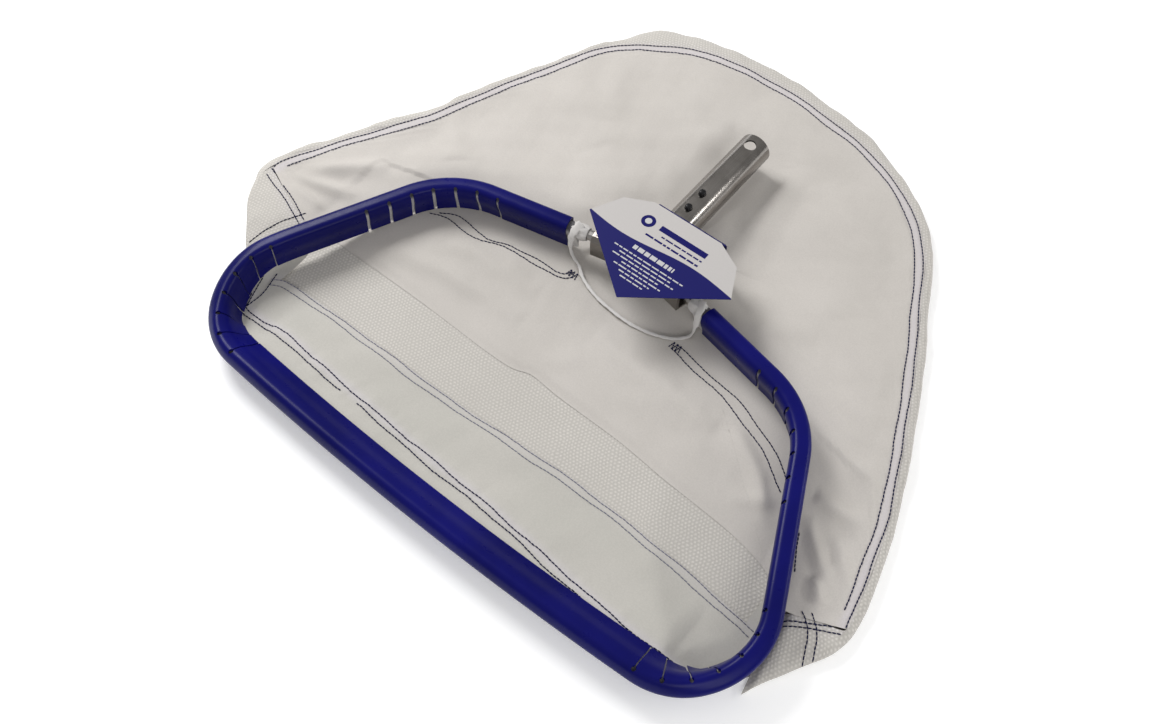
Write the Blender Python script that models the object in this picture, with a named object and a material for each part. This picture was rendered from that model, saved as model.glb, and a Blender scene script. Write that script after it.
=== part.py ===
"""Pool leaf rake: an aluminium rod frame with a plastic scoop edge, a mesh bag and a tube handle.

Lengths are metres. X runs along the front bar, Y from the front bar to the handle, Z up.
The rake lies on a floor, mouth up, with the bag spread flat behind the frame.
"""
import math

import bmesh
import bpy
from mathutils import Matrix, Vector

GAP = 0.0003

# Rod frame: a trapezoid with round corners, its apex under the handle.
ROD_RADIUS = 0.00475
RAIL_HEIGHT = 0.0323
APEX = (0.0, 0.268)
SHOULDER = (0.181, 0.229)
CORNER = (0.287, 0.0)
SHOULDER_RADIUS = 0.080
CORNER_RADIUS = 0.057
FRONT_BOW = 0.013
FRONT_DROP = 0.0090
ROD_TAIL = 0.020

# Hem sleeve round the rod and the plastic edge clipped over it.
SLEEVE_INNER = 0.0052
SLEEVE_OUTER = 0.0058
SLEEVE_TAIL = 0.058
EDGE_INNER = 0.0062
EDGE_OUTER = 0.0077
EDGE_TAIL = 0.071
LEG_LENGTH = 0.0231
LEG_HALF_OUTER = 0.0019
LEG_HALF_INNER = 0.0005

# Crossbar that takes both ends of the rod.
CROSSBAR_HALF = 0.047
CROSSBAR_DEPTH = 0.022
CROSSBAR_HEIGHT = 0.021
CROSSBAR_CHAMFER = 0.004
CROSSBAR_BORE = 0.0165
RIVET_X = 0.034

# Handle tube, made to slip inside a telescopic pole.
TUBE_OUTER = 0.0143
TUBE_INNER = 0.0127
TUBE_START = 0.246
TUBE_END = 0.424
HANG_HOLE_Y = 0.4115
HANG_HOLE_RADIUS = 0.0055
BOLT_RADIUS = 0.003

# Two spring clips, each with a button on both sides of the tube.
CLIP_YS = {"front": 0.3218, "rear": 0.3413}
CLIP_REACH = 0.0293
BUTTON_RADIUS = 0.0031
BUTTON_TOP = 0.0181
BUTTON_FLANGE = (0.0096, 0.0113)

# Mesh bag, lying flat: two panels, the wall between them and the strip at the mouth.
BAG_OUTLINE = [(0.0, 0.528), (0.160, 0.518), (0.316, 0.142), (0.246, 0.012), (0.0, 0.004)]
BAG_RADII = [0.0, 0.110, 0.034, 0.030, 0.0]
PANEL = 0.0018
UPPER_Z = 0.0070
FOLD_Y = 0.128
FRONT_SEAM_Y = 0.078

# Folded display card on the handle.
CARD_TOP_Y = 0.306
CARD_LIFT = 0.0190
CARD = 0.0006


def clear_scene():
    for obj in list(bpy.data.objects):
        bpy.data.objects.remove(obj, do_unlink=True)


def material(name, color, roughness, metallic=0.0):
    made = bpy.data.materials.new(name)
    made.use_nodes = True
    shader = made.node_tree.nodes["Principled BSDF"]
    shader.inputs["Base Color"].default_value = (*color, 1.0)
    shader.inputs["Roughness"].default_value = roughness
    shader.inputs["Metallic"].default_value = metallic
    return made


def node(name, bm, color, roughness, metallic=0.0, origin=(0.0, 0.0, 0.0)):
    """One named object from a bmesh, with its origin at the given point."""
    bmesh.ops.recalc_face_normals(bm, faces=bm.faces)
    if bm.calc_volume(signed=True) < 0:
        bmesh.ops.reverse_faces(bm, faces=bm.faces)
    bmesh.ops.translate(bm, verts=bm.verts, vec=-Vector(origin))
    mesh = bpy.data.meshes.new(name)
    bm.to_mesh(mesh)
    bm.free()
    mesh.shade_smooth()
    mesh.set_sharp_from_angle(angle=math.radians(35))
    mesh.materials.append(material(name, color, roughness, metallic))
    obj = bpy.data.objects.new(name, mesh)
    obj.location = origin
    bpy.context.collection.objects.link(obj)
    return obj


def cut(obj, bm, name):
    """Subtracts a bmesh from an object, through a hidden cutter."""
    cutter = node(f"cut_{obj.name}_{name}", bm, (0.5, 0.5, 0.5), 0.5)
    cutter.hide_render = True
    cutter.display_type = "WIRE"
    boolean = obj.modifiers.new(f"cut_{name}", "BOOLEAN")
    boolean.operation = "DIFFERENCE"
    boolean.object = cutter


def blend(t):
    t = min(max(t, 0.0), 1.0)
    return t * t * (3 - 2 * t)


def ramp(value, knots):
    """Straight-line interpolation through (x, y) knots."""
    for (x0, y0), (x1, y1) in zip(knots, knots[1:]):
        if value <= x1:
            return y0 + (y1 - y0) * max(value - x0, 0.0) / (x1 - x0)
    return knots[-1][1]


def rounded(points, radii, step=0.012):
    """A polyline with each inner corner replaced by an arc of its own radius."""
    corners = [Vector(point) for point in points]
    path = [corners[0]]
    for before, here, after, radius in zip(corners, corners[1:], corners[2:], radii[1:]):
        back = (before - here).normalized()
        ahead = (after - here).normalized()
        half = back.angle(ahead) / 2
        centre = here + (back + ahead).normalized() * radius / math.sin(half)
        start = here + back * radius / math.tan(half) - centre
        end = here + ahead * radius / math.tan(half) - centre
        turn = start.angle_signed(end)
        count = max(3, math.ceil(abs(turn) * radius / step))
        for i in range(count + 1):
            path.append(centre + Matrix.Rotation(-turn * i / count, 2) @ start)
    path.append(corners[-1])
    return path


def split_long(path, longest):
    """The same path with no step longer than the given length."""
    result = [path[0]]
    for a, b in zip(path, path[1:]):
        count = max(1, math.ceil((b - a).length / longest))
        result += [a.lerp(b, i / count) for i in range(1, count + 1)]
    return result


def rail(tail):
    """Stations round the frame from one tail to the other: point, leg direction, face direction."""
    slope = (SHOULDER[1] - APEX[1]) / SHOULDER[0]
    start = (tail, APEX[1] + slope * tail)
    path = rounded([start, SHOULDER, CORNER, (0.0, 0.0)], [0, SHOULDER_RADIUS, CORNER_RADIUS, 0])
    half = split_long(path, 0.045)
    for point in half:
        arch = 1 - (point.x / CORNER[0]) ** 2
        point.y -= FRONT_BOW * arch * blend(1 - point.y / 0.067)
    points = half + [Vector((-p.x, p.y)) for p in reversed(half[:-1])]
    stations = []
    for i, point in enumerate(points):
        ahead = points[min(i + 1, len(points) - 1)] - points[max(i - 1, 0)]
        out = Vector((-ahead.y, ahead.x, 0.0)).normalized()
        tilt = math.radians(ramp(-out.y, [(-1, 88.7), (-0.45, 87.3), (0.6, 58.0), (1, 23.7)]))
        z = RAIL_HEIGHT - FRONT_DROP * blend(1 - point.y / 0.103)
        leg = -out * math.cos(tilt) - Vector((0, 0, math.sin(tilt)))
        face = -out * math.sin(tilt) + Vector((0, 0, math.cos(tilt)))
        stations.append((Vector((point.x, point.y, z)), leg, face))
    return stations


def sweep(stations, profile):
    """A closed solid: the (along leg, along face) profile carried along the stations, with caps."""
    bm = bmesh.new()
    rings = []
    for point, leg, face in stations:
        rings.append([bm.verts.new(point + leg * k + face * h) for k, h in profile])
    for a, b in zip(rings, rings[1:]):
        for i in range(len(profile)):
            j = (i + 1) % len(profile)
            bm.faces.new((a[i], a[j], b[j], b[i]))
    bm.faces.new(rings[0])
    bm.faces.new(list(reversed(rings[-1])))
    return bm


def circle(radius, sides, phase=0.0):
    turns = [2 * math.pi * (i + phase) / sides for i in range(sides)]
    return [(radius * math.cos(a), radius * math.sin(a)) for a in turns]


def cylinder(radius, start, end, sides=20, end_radius=None):
    """A round solid between two points, straight or tapered."""
    start = Vector(start)
    end = Vector(end)
    bm = bmesh.new()
    turn = (end - start).to_track_quat("Z", "Y").to_matrix().to_4x4()
    half_side = Matrix.Rotation(math.pi / sides, 4, "Z")
    place = Matrix.Translation((start + end) / 2) @ turn @ half_side
    top = radius if end_radius is None else end_radius
    bmesh.ops.create_cone(
        bm, cap_ends=True, segments=sides, radius1=radius, radius2=top,
        depth=(end - start).length, matrix=place,
    )
    return bm


def turned(profile, centre, sides=20, up=1.0):
    """A round solid about a vertical axis from (radius, height) points; ends at radius 0 close it."""
    bm = bmesh.new()
    rings = []
    for radius, height in profile:
        if radius == 0.0:
            rings.append([bm.verts.new((centre[0], centre[1], centre[2] + up * height))])
            continue
        ring = []
        for x, y in circle(radius, sides):
            ring.append(bm.verts.new((centre[0] + x, centre[1] + y, centre[2] + up * height)))
        rings.append(ring)
    for a, b in zip(rings, rings[1:]):
        for i in range(sides):
            j = (i + 1) % sides
            corners = [a[i % len(a)], a[j % len(a)], b[j % len(b)], b[i % len(b)]]
            bm.faces.new(list(dict.fromkeys(corners)))
    return bm


def box(low, high):
    bm = bmesh.new()
    centre = (Vector(low) + Vector(high)) / 2
    size = Vector(high) - Vector(low)
    bmesh.ops.create_cube(bm, size=1.0, matrix=Matrix.Translation(centre) @ Matrix.Diagonal((*size, 1)))
    return bm


def plate(outline, low, high):
    """A flat solid of the given outline between two heights."""
    bm = bmesh.new()
    face = bm.faces.new([bm.verts.new((point[0], point[1], low)) for point in outline])
    made = bmesh.ops.extrude_face_region(bm, geom=[face])["geom"]
    top = [item for item in made if isinstance(item, bmesh.types.BMVert)]
    bmesh.ops.translate(bm, verts=top, vec=(0, 0, high - low))
    return bm


def mirrored(half):
    """A half outline that starts and ends on X = 0, completed by its mirror image."""
    return list(half) + [Vector((-p[0], p[1])) for p in reversed(half[1:-1])]


def frame_rod():
    bm = sweep(rail(ROD_TAIL), circle(ROD_RADIUS, 10))
    rod = node("frame_rod", bm, (0.62, 0.61, 0.60), 0.35, 1.0)
    for side in (-1, 1):
        x, y = side * RIVET_X, crossbar_y(RIVET_X)
        low, high = (x, y, RAIL_HEIGHT - 0.01), (x, y, RAIL_HEIGHT + 0.01)
        cut(rod, cylinder(0.0019 + GAP, low, high, 12), f"rivet_{'right' if side > 0 else 'left'}")


def crossbar_y(x):
    return APEX[1] + (SHOULDER[1] - APEX[1]) / SHOULDER[0] * abs(x)


def crossbar_stations(reach):
    rise = math.atan2(APEX[1] - SHOULDER[1], SHOULDER[0])
    stations = []
    for x in (-reach, 0.0, reach):
        lean = 0.0 if x == 0.0 else math.copysign(rise, x)
        across = Vector((math.sin(lean), math.cos(lean), 0.0))
        stations.append((Vector((x, crossbar_y(x), RAIL_HEIGHT)), across, Vector((0, 0, 1))))
    return stations


def crossbar():
    a, b, c = CROSSBAR_DEPTH / 2, CROSSBAR_HEIGHT / 2, CROSSBAR_CHAMFER
    outer = [(-a, -b), (a, -b), (a, b - c), (a - c, b), (c - a, b), (-a, b - c)]
    bar = node("crossbar", sweep(crossbar_stations(CROSSBAR_HALF), outer), (0.50, 0.47, 0.44), 0.38, 1.0)
    r = CROSSBAR_BORE / 2
    inner = [(-r, -r), (r, -r), (r, r), (-r, r)]
    cut(bar, sweep(crossbar_stations(CROSSBAR_HALF + 0.01), inner), "bore")
    for x, radius in ((-RIVET_X, 0.0019), (0.0, BOLT_RADIUS), (RIVET_X, 0.0019)):
        y = crossbar_y(x)
        low, high = (x, y, RAIL_HEIGHT - 0.02), (x, y, RAIL_HEIGHT + 0.02)
        cut(bar, cylinder(radius + GAP, low, high, 16), f"hole_{round(1000 * x)}")


def rod_rivet(side, name):
    """A blind rivet down through the crossbar and the rod, with a head on each face."""
    half = CROSSBAR_HEIGHT / 2 + GAP
    shaft = 0.0019
    head = 0.0038
    profile = [(0.0, -half - 0.0018), (0.0030, -half - 0.0014), (head, -half), (shaft, -half)]
    profile += [(shaft, half), (head, half), (0.0030, half + 0.0014), (0.0, half + 0.0018)]
    centre = (side * RIVET_X, crossbar_y(RIVET_X), RAIL_HEIGHT)
    node(name, turned(profile, centre, 16), (0.60, 0.59, 0.57), 0.35, 1.0)


def handle_tube():
    start, end = (0, TUBE_START, RAIL_HEIGHT), (0, TUBE_END, RAIL_HEIGHT)
    tube = node("handle_tube", cylinder(TUBE_OUTER, start, end, 32), (0.50, 0.47, 0.44), 0.33, 1.0)
    longer = Vector((0, 0.01, 0))
    cut(tube, cylinder(TUBE_INNER, Vector(start) - longer, Vector(end) + longer, 32), "bore")
    side = crossbar_y(TUBE_OUTER) - CROSSBAR_DEPTH / 2 - 0.001
    notch_low = (-0.02, side, RAIL_HEIGHT - CROSSBAR_HEIGHT / 2 - GAP)
    notch_high = (0.02, APEX[1] + CROSSBAR_DEPTH / 2 + 0.001, RAIL_HEIGHT + CROSSBAR_HEIGHT / 2 + GAP)
    cut(tube, box(notch_low, notch_high), "crossbar")
    holes = {"hang": (HANG_HOLE_Y, HANG_HOLE_RADIUS), "bolt": (APEX[1], BOLT_RADIUS + GAP)}
    holes.update({name: (y, BUTTON_RADIUS + GAP) for name, y in CLIP_YS.items()})
    for name, (y, radius) in holes.items():
        low, high = (0, y, RAIL_HEIGHT - 0.02), (0, y, RAIL_HEIGHT + 0.02)
        cut(tube, cylinder(radius, low, high, 20), name)


def handle_fasteners():
    """The bolt down through the tube and crossbar, with its washer and nut below."""
    y = APEX[1]
    top = TUBE_OUTER + GAP
    washer = 0.0008
    nut = 0.0040
    low = -TUBE_OUTER - 3 * GAP - washer - nut - 0.0010
    shaft = [(0.0, low), (BOLT_RADIUS - 0.0004, low), (BOLT_RADIUS, low + 0.0004)]
    head = [(BOLT_RADIUS, top), (0.0052, top), (0.0052, top + 0.0018), (0.0034, top + 0.0034), (0.0, top + 0.0038)]
    node("handle_bolt", turned(shaft + head, (0, y, RAIL_HEIGHT), 16), (0.55, 0.54, 0.53), 0.3, 1.0)
    for name, radius, sides, high, thick in (
        ("handle_washer", 0.0062, 20, -TUBE_OUTER - GAP, washer),
        ("handle_nut", 0.0056, 6, -TUBE_OUTER - 2 * GAP - washer, nut),
    ):
        z = RAIL_HEIGHT + high
        piece = node(name, cylinder(radius, (0, y, z - thick), (0, y, z), sides), (0.55, 0.54, 0.53), 0.3, 1.0)
        bore = cylinder(BOLT_RADIUS + GAP, (0, y, z - 0.01), (0, y, z + 0.01), 16)
        cut(piece, bore, "bore")


def spring_clip(name, y):
    """A V of spring strip lying in the tube, its arms under the two buttons."""
    thick = 0.0006
    tip = BUTTON_FLANGE[0] - GAP
    pad = 0.0035
    arm = [(y + pad, tip), (y - pad, tip), (y - CLIP_REACH + 0.0022, 0.0016), (y - CLIP_REACH, 0.0008)]
    inner = [(y - CLIP_REACH + 0.0008, 0.0), (y - CLIP_REACH + 0.0028, 0.0008), (y - pad + 0.0003, tip - thick)]
    inner.append((y + pad, tip - thick))
    outline = arm + [(p, -q) for p, q in reversed(arm)]
    outline += [(p, -q) for p, q in reversed(inner[1:])] + inner
    bm = bmesh.new()
    face = bm.faces.new([bm.verts.new((-0.003, p, RAIL_HEIGHT + q)) for p, q in outline])
    made = bmesh.ops.extrude_face_region(bm, geom=[face])["geom"]
    moved = [item for item in made if isinstance(item, bmesh.types.BMVert)]
    bmesh.ops.translate(bm, verts=moved, vec=(0.006, 0, 0))
    node(name, bm, (0.35, 0.35, 0.36), 0.3, 1.0)


def snap_button(name, y, up):
    low, high = BUTTON_FLANGE
    r = BUTTON_RADIUS
    profile = [(0.0, low), (0.0042, low), (0.0042, high), (r, high), (r, BUTTON_TOP - 0.0012)]
    profile += [(0.0024, BUTTON_TOP - 0.0003), (0.0012, BUTTON_TOP), (0.0, BUTTON_TOP)]
    bm = turned(profile, (0, y, RAIL_HEIGHT), 18, up)
    node(name, bm, (0.012, 0.012, 0.013), 0.4, origin=(0, y, RAIL_HEIGHT + up * BUTTON_TOP))


def hem_sleeve():
    """The hem of the bag, wrapped round the rod from one end of the frame to the other."""
    bm = sweep(rail(SLEEVE_TAIL), circle(SLEEVE_OUTER, 10))
    sleeve = node("hem_sleeve", bm, (0.80, 0.79, 0.76), 0.9)
    cut(sleeve, sweep(rail(SLEEVE_TAIL - 0.002), circle(SLEEVE_INNER, 10)), "bore")


def edge_strip():
    """The plastic scoop edge: a round nose over the rod and two legs that pinch the hem."""
    steps = 9
    spread = math.radians(130)
    turns = [spread - 2 * spread * i / steps for i in range(steps + 1)]
    outer = [(-EDGE_OUTER * math.cos(a), EDGE_OUTER * math.sin(a)) for a in turns]
    inner = [(-EDGE_INNER * math.cos(a), EDGE_INNER * math.sin(a)) for a in reversed(turns)]
    neck, tip = 0.0105, LEG_LENGTH
    profile = [(tip, LEG_HALF_OUTER), (neck, LEG_HALF_OUTER + 0.0006)] + outer
    profile += [(neck, -LEG_HALF_OUTER - 0.0006), (tip, -LEG_HALF_OUTER)]
    profile += [(tip, -LEG_HALF_INNER), (neck, -LEG_HALF_INNER - 0.0005)] + inner
    profile += [(neck, LEG_HALF_INNER + 0.0005), (tip, LEG_HALF_INNER)]
    node("edge_strip", sweep(rail(EDGE_TAIL), profile), (0.012, 0.010, 0.30), 0.28)


def bag_outline(inset=0.0):
    half = rounded(BAG_OUTLINE, BAG_RADII)
    scale_x = 1 - inset / 0.30
    return [Vector((p.x * scale_x, 0.26 + (p.y - 0.26) * (1 - inset / 0.26))) for p in half]


def net_panels():
    mesh = (0.72, 0.70, 0.67)
    node("net_drag_panel", plate(mirrored(bag_outline()), 0.0, PANEL), mesh, 0.9)
    upper = [p for p in bag_outline(0.0005) if p.y > FOLD_Y + 0.004]
    fold_x = upper[-1].x
    upper += [Vector((fold_x, FOLD_Y)), Vector((0.0, FOLD_Y))]
    node("net_upper_panel", plate(mirrored(upper), UPPER_Z, UPPER_Z + PANEL), mesh, 0.85)


def net_gusset():
    """The coarse wall that joins the two panels round the back and sides of the bag."""
    outer = [p for p in bag_outline(0.0008) if p.y > 0.08]
    inner = [p for p in bag_outline(0.0048) if p.y > 0.08]
    half_out = [Vector((-p.x, p.y)) for p in reversed(outer[1:])] + outer
    half_in = [Vector((-p.x, p.y)) for p in reversed(inner[1:])] + inner
    ring = half_out + list(reversed(half_in))
    node("net_gusset", plate(ring, PANEL + GAP, UPPER_Z - GAP), (0.75, 0.73, 0.70), 0.9)


def net_front_strip():
    """Fine mesh from the front edge's legs down to the seam with the drag panel."""
    bm = bmesh.new()
    rings = []
    low = PANEL + GAP
    for point, leg, face in rail(EDGE_TAIL):
        if point.y > 0.012 or abs(point.x) > 0.205:
            continue
        tip = point + leg * (LEG_LENGTH + 4 * GAP)
        inner_x = tip.x * 1.05
        across = [(tip.x, tip.y, tip.z), (tip.x, tip.y + 0.022, low + PANEL)]
        across += [(inner_x, FRONT_SEAM_Y, low + PANEL), (inner_x, FRONT_SEAM_Y, low)]
        across += [(tip.x, tip.y + 0.021, low), (tip.x, tip.y - 0.0015, tip.z - 0.0012)]
        rings.append([bm.verts.new(corner) for corner in across])
    for a, b in zip(rings, rings[1:]):
        for i in range(6):
            j = (i + 1) % 6
            bm.faces.new((a[i], a[j], b[j], b[i]))
    bm.faces.new(rings[0])
    bm.faces.new(list(reversed(rings[-1])))
    node("net_front_strip", bm, (0.76, 0.75, 0.72), 0.85)


def net_bound_edge():
    """The bound edge of the bag, sagging across the cut-out under the crossbar."""
    stations = []
    half = 0.064
    for i in range(17):
        x = half * (i / 8 - 1)
        sag = math.cos(x / half * math.pi / 2)
        y = crossbar_y(half) - 0.016 - 0.022 * sag
        slope = 0.022 * math.pi / 2 / half * math.sin(x / half * math.pi / 2)
        across = Vector((-slope, 1, 0)).normalized()
        point = Vector((x, y, UPPER_Z + PANEL + 0.0022))
        stations.append((point, across, Vector((0, 0, 1))))
    node("net_bound_edge", sweep(stations, circle(0.0016, 8)), (0.80, 0.79, 0.76), 0.9)


def hang_card():
    """A cut-gem card folded over the handle, its back flap pierced by the tube."""
    top, low = CARD_TOP_Y, RAIL_HEIGHT + CARD_LIFT
    gem = [(0.0335, top), (0.0570, top - 0.012), (0.0710, top - 0.040), (0.0, top - 0.095)]
    outline = [Vector(p) for p in gem]
    outline += [Vector((-p.x, p.y)) for p in reversed(outline[:-1])]
    bm = plate(outline, low, low + CARD)
    wide, drop = 0.0335, 0.036
    flap = box((-wide, top - 2 * CARD, low - drop), (wide, top - CARD, low + CARD / 2))
    flap_mesh = bpy.data.meshes.new("flap")
    flap.to_mesh(flap_mesh)
    card = node("hang_card", bm, (0.80, 0.79, 0.76), 0.5)
    flap.free()
    back = bpy.data.objects.new("join_hang_card_flap", flap_mesh)
    bpy.context.collection.objects.link(back)
    back.hide_render = True
    back.display_type = "WIRE"
    union = card.modifiers.new("join_flap", "BOOLEAN")
    union.operation = "UNION"
    union.object = back
    start, end = (0, top - 0.01, RAIL_HEIGHT), (0, top + 0.01, RAIL_HEIGHT)
    cut(card, cylinder(TUBE_OUTER + 0.0006, start, end, 32), "tube")


def sit_on_origin():
    """Moves everything so that the origin is under the middle of the whole rake."""
    bpy.context.view_layer.update()
    ys = []
    for obj in bpy.context.scene.objects:
        if not obj.hide_render:
            ys += [(obj.matrix_world @ Vector(corner)).y for corner in obj.bound_box]
    middle = (min(ys) + max(ys)) / 2
    for obj in bpy.context.scene.objects:
        obj.location.y -= middle


clear_scene()
frame_rod()
hem_sleeve()
edge_strip()
crossbar()
rod_rivet(-1, "rod_rivet_left")
rod_rivet(1, "rod_rivet_right")
handle_tube()
handle_fasteners()
for clip, clip_y in CLIP_YS.items():
    spring_clip(f"spring_clip_{clip}", clip_y)
    snap_button(f"button_{clip}_top", clip_y, 1.0)
    snap_button(f"button_{clip}_bottom", clip_y, -1.0)
net_panels()
net_gusset()
net_front_strip()
net_bound_edge()
hang_card()
sit_on_origin()
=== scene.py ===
import math
import random
from bisect import bisect_right

import bmesh
import bpy
import numpy as np
from mathutils import Matrix, Vector
from mathutils.bvhtree import BVHTree


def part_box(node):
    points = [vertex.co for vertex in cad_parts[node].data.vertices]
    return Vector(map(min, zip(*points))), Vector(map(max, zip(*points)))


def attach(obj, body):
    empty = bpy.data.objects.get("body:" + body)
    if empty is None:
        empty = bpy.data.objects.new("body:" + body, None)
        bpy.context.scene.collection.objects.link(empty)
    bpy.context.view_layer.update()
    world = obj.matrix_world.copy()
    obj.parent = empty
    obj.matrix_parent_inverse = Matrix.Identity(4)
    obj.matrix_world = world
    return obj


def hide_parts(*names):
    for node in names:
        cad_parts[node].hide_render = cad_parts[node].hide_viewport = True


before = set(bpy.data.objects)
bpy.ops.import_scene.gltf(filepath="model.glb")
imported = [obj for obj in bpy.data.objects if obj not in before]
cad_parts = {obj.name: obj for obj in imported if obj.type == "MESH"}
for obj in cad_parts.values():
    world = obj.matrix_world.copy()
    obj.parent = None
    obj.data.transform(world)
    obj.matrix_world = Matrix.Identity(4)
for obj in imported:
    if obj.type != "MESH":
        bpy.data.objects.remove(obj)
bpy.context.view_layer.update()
scene = bpy.context.scene


# ---------------------------------------------------------------- Studio
# A pale floor under one large soft lamp from the left, a weaker one from the front right and a
# low narrow strip lamp that draws the bright line along the metal.
def math_node(tree, operation, *values):
    """A Math node fed by sockets or plain numbers; returns its output."""
    node = tree.nodes.new("ShaderNodeMath")
    node.operation = operation
    for socket, value in zip(node.inputs, values):
        if isinstance(value, (int, float)):
            socket.default_value = value
        else:
            tree.links.new(value, socket)
    return node.outputs[0]


def noise_node(tree, vector, scale, detail=3.0, roughness=0.5, distortion=0.0):
    node = tree.nodes.new("ShaderNodeTexNoise")
    node.inputs["Scale"].default_value = scale
    node.inputs["Detail"].default_value = detail
    node.inputs["Roughness"].default_value = roughness
    node.inputs["Distortion"].default_value = distortion
    tree.links.new(vector, node.inputs["Vector"])
    return node.outputs["Fac"]


def span_node(tree, value, low, high, to_low=0.0, to_high=1.0):
    """Maps a value from one span to another, held at both ends."""
    node = tree.nodes.new("ShaderNodeMapRange")
    tree.links.new(value, node.inputs["Value"])
    for name, number in zip(("From Min", "From Max", "To Min", "To Max"), (low, high, to_low, to_high)):
        node.inputs[name].default_value = number
    return node.outputs["Result"]


def mix_colour(tree, share, first, second):
    node = tree.nodes.new("ShaderNodeMix")
    node.data_type = "RGBA"
    sockets = [s for s in node.inputs if s.type == "RGBA"]
    for socket, value in zip(sockets, (first, second)):
        if isinstance(value, tuple):
            socket.default_value = (*value, 1.0)
        else:
            tree.links.new(value, socket)
    if isinstance(share, (int, float)):
        node.inputs["Factor"].default_value = share
    else:
        tree.links.new(share, node.inputs["Factor"])
    return next(s for s in node.outputs if s.type == "RGBA")


def tint(tree, shader, share, first, second):
    """Gives the shader a base colour that wanders between two colours."""
    tree.links.new(mix_colour(tree, share, first, second), shader.inputs["Base Color"])


def new_material(name, colour, roughness, metallic=0.0):
    """A material with its Principled shader and the piece's own Object coordinates."""
    material = bpy.data.materials.new(name)
    material.use_nodes = True
    tree = material.node_tree
    shader = tree.nodes["Principled BSDF"]
    shader.inputs["Base Color"].default_value = (*colour, 1.0)
    shader.inputs["Roughness"].default_value = roughness
    shader.inputs["Metallic"].default_value = metallic
    place = tree.nodes.new("ShaderNodeTexCoord").outputs["Object"]
    return material, tree, shader, place


def stretched(tree, vector, scale):
    node = tree.nodes.new("ShaderNodeMapping")
    node.inputs["Scale"].default_value = scale
    tree.links.new(vector, node.inputs["Vector"])
    return node.outputs["Vector"]


def bump(tree, shader, height, strength, distance):
    node = tree.nodes.new("ShaderNodeBump")
    node.inputs["Strength"].default_value = strength
    node.inputs["Distance"].default_value = distance
    tree.links.new(height, node.inputs["Height"])
    tree.links.new(node.outputs["Normal"], shader.inputs["Normal"])


def make_object(name, bm, material, smooth_angle=40.0):
    """Turns a finished bmesh into an object at the origin, smooth except over sharp edges."""
    mesh = bpy.data.meshes.new(name)
    bm.to_mesh(mesh)
    bm.free()
    mesh.materials.append(material)
    for polygon in mesh.polygons:
        polygon.use_smooth = True
    mesh.set_sharp_from_angle(angle=math.radians(smooth_angle))
    piece = bpy.data.objects.new(name, mesh)
    scene.collection.objects.link(piece)
    return piece


FLOOR_SIZE = 4.0
FLOOR_DROP = 0.0004
FLOOR_COLOUR = (0.92, 0.92, 0.92)
FLOOR_GLOW = 0.22
floor_material, tree, shader, place = new_material("floor_paint", FLOOR_COLOUR, 0.9)
grain = noise_node(tree, place, 260.0, 2.0)
bump(tree, shader, grain, 0.05, 0.0002)
shader.inputs["Emission Color"].default_value = (1.0, 1.0, 1.0, 1.0)
shader.inputs["Emission Strength"].default_value = FLOOR_GLOW
bm = bmesh.new()
bmesh.ops.create_grid(bm, x_segments=8, y_segments=8, size=FLOOR_SIZE / 2)
bmesh.ops.translate(bm, verts=bm.verts, vec=(0, 0, -FLOOR_DROP))
floor = make_object("floor", bm, floor_material)

world = bpy.data.worlds.new("studio")
world.use_nodes = True
sky = world.node_tree.nodes["Background"]
upward = world.node_tree.nodes.new("ShaderNodeSeparateXYZ")
skyward = world.node_tree.nodes.new("ShaderNodeTexCoord").outputs["Generated"]
world.node_tree.links.new(skyward, upward.inputs[0])
rise = span_node(world.node_tree, upward.outputs["Z"], 0.05, 0.75, 0.50, 0.80)
world.node_tree.links.new(rise, sky.inputs["Strength"])
sky.inputs["Color"].default_value = (0.62, 0.62, 0.62, 1.0)
scene.world = world
scene.view_settings.view_transform = "Standard"


def soft_lamp(name, place, aim, width, depth, power):
    lamp = bpy.data.lights.new(name, "AREA")
    lamp.shape = "RECTANGLE"
    lamp.size, lamp.size_y, lamp.energy = width, depth, power
    holder = bpy.data.objects.new(name, lamp)
    turn = (Vector(aim) - Vector(place)).to_track_quat("-Z", "Y")
    holder.matrix_world = Matrix.LocRotScale(Vector(place), turn, None)
    scene.collection.objects.link(holder)


soft_lamp("lamp_left", (-1.05, 0.20, 1.00), (0, 0, 0), 0.6, 0.6, 18.0)
soft_lamp("lamp_front_right", (0.9, -0.7, 0.8), (0, 0, 0), 0.6, 0.6, 4.0)
soft_lamp("lamp_strip", (0.90, 0.60, 0.42), (0, 0.1, 0.03), 0.9, 0.07, 3.6)

CAMERA_LENS = 36.2
CAMERA_PLACE = Vector((0.3119, -0.4720, 0.8070))
CAMERA_RIGHT = Vector((0.77832, 0.62778, 0.01046))
CAMERA_UP = Vector((-0.53961, 0.66031, 0.52230))
camera = bpy.data.objects.new("camera", bpy.data.cameras.new("camera"))
camera.data.sensor_width = 36.0
camera.data.lens = CAMERA_LENS
turned = Matrix((CAMERA_RIGHT, CAMERA_UP, CAMERA_RIGHT.cross(CAMERA_UP))).transposed()
camera.matrix_world = Matrix.Translation(CAMERA_PLACE) @ turned.to_4x4()
scene.collection.objects.link(camera)
scene.camera = camera


# ---------------------------------------------------------------- Plastic edge strip
# Navy extruded strip of a round nose and two lips, pushed over the hem and the rod. At each of
# the four bends the lips are slit up to a punched keyhole, so that the strip can turn.
RAIL_HEIGHT = 0.0323
BACK_PEAK = (0.0, 0.268)
SHOULDER = (0.181, 0.229)
CORNER = (0.287, 0.0)
SHOULDER_RADIUS = 0.080
CORNER_RADIUS = 0.057
FRONT_BOW = 0.013
FRONT_DROP = 0.0090
TUBE_END = 0.424
REST_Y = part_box("handle_tube")[1].y - TUBE_END
NAVY = (0.0032, 0.0034, 0.095)


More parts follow.
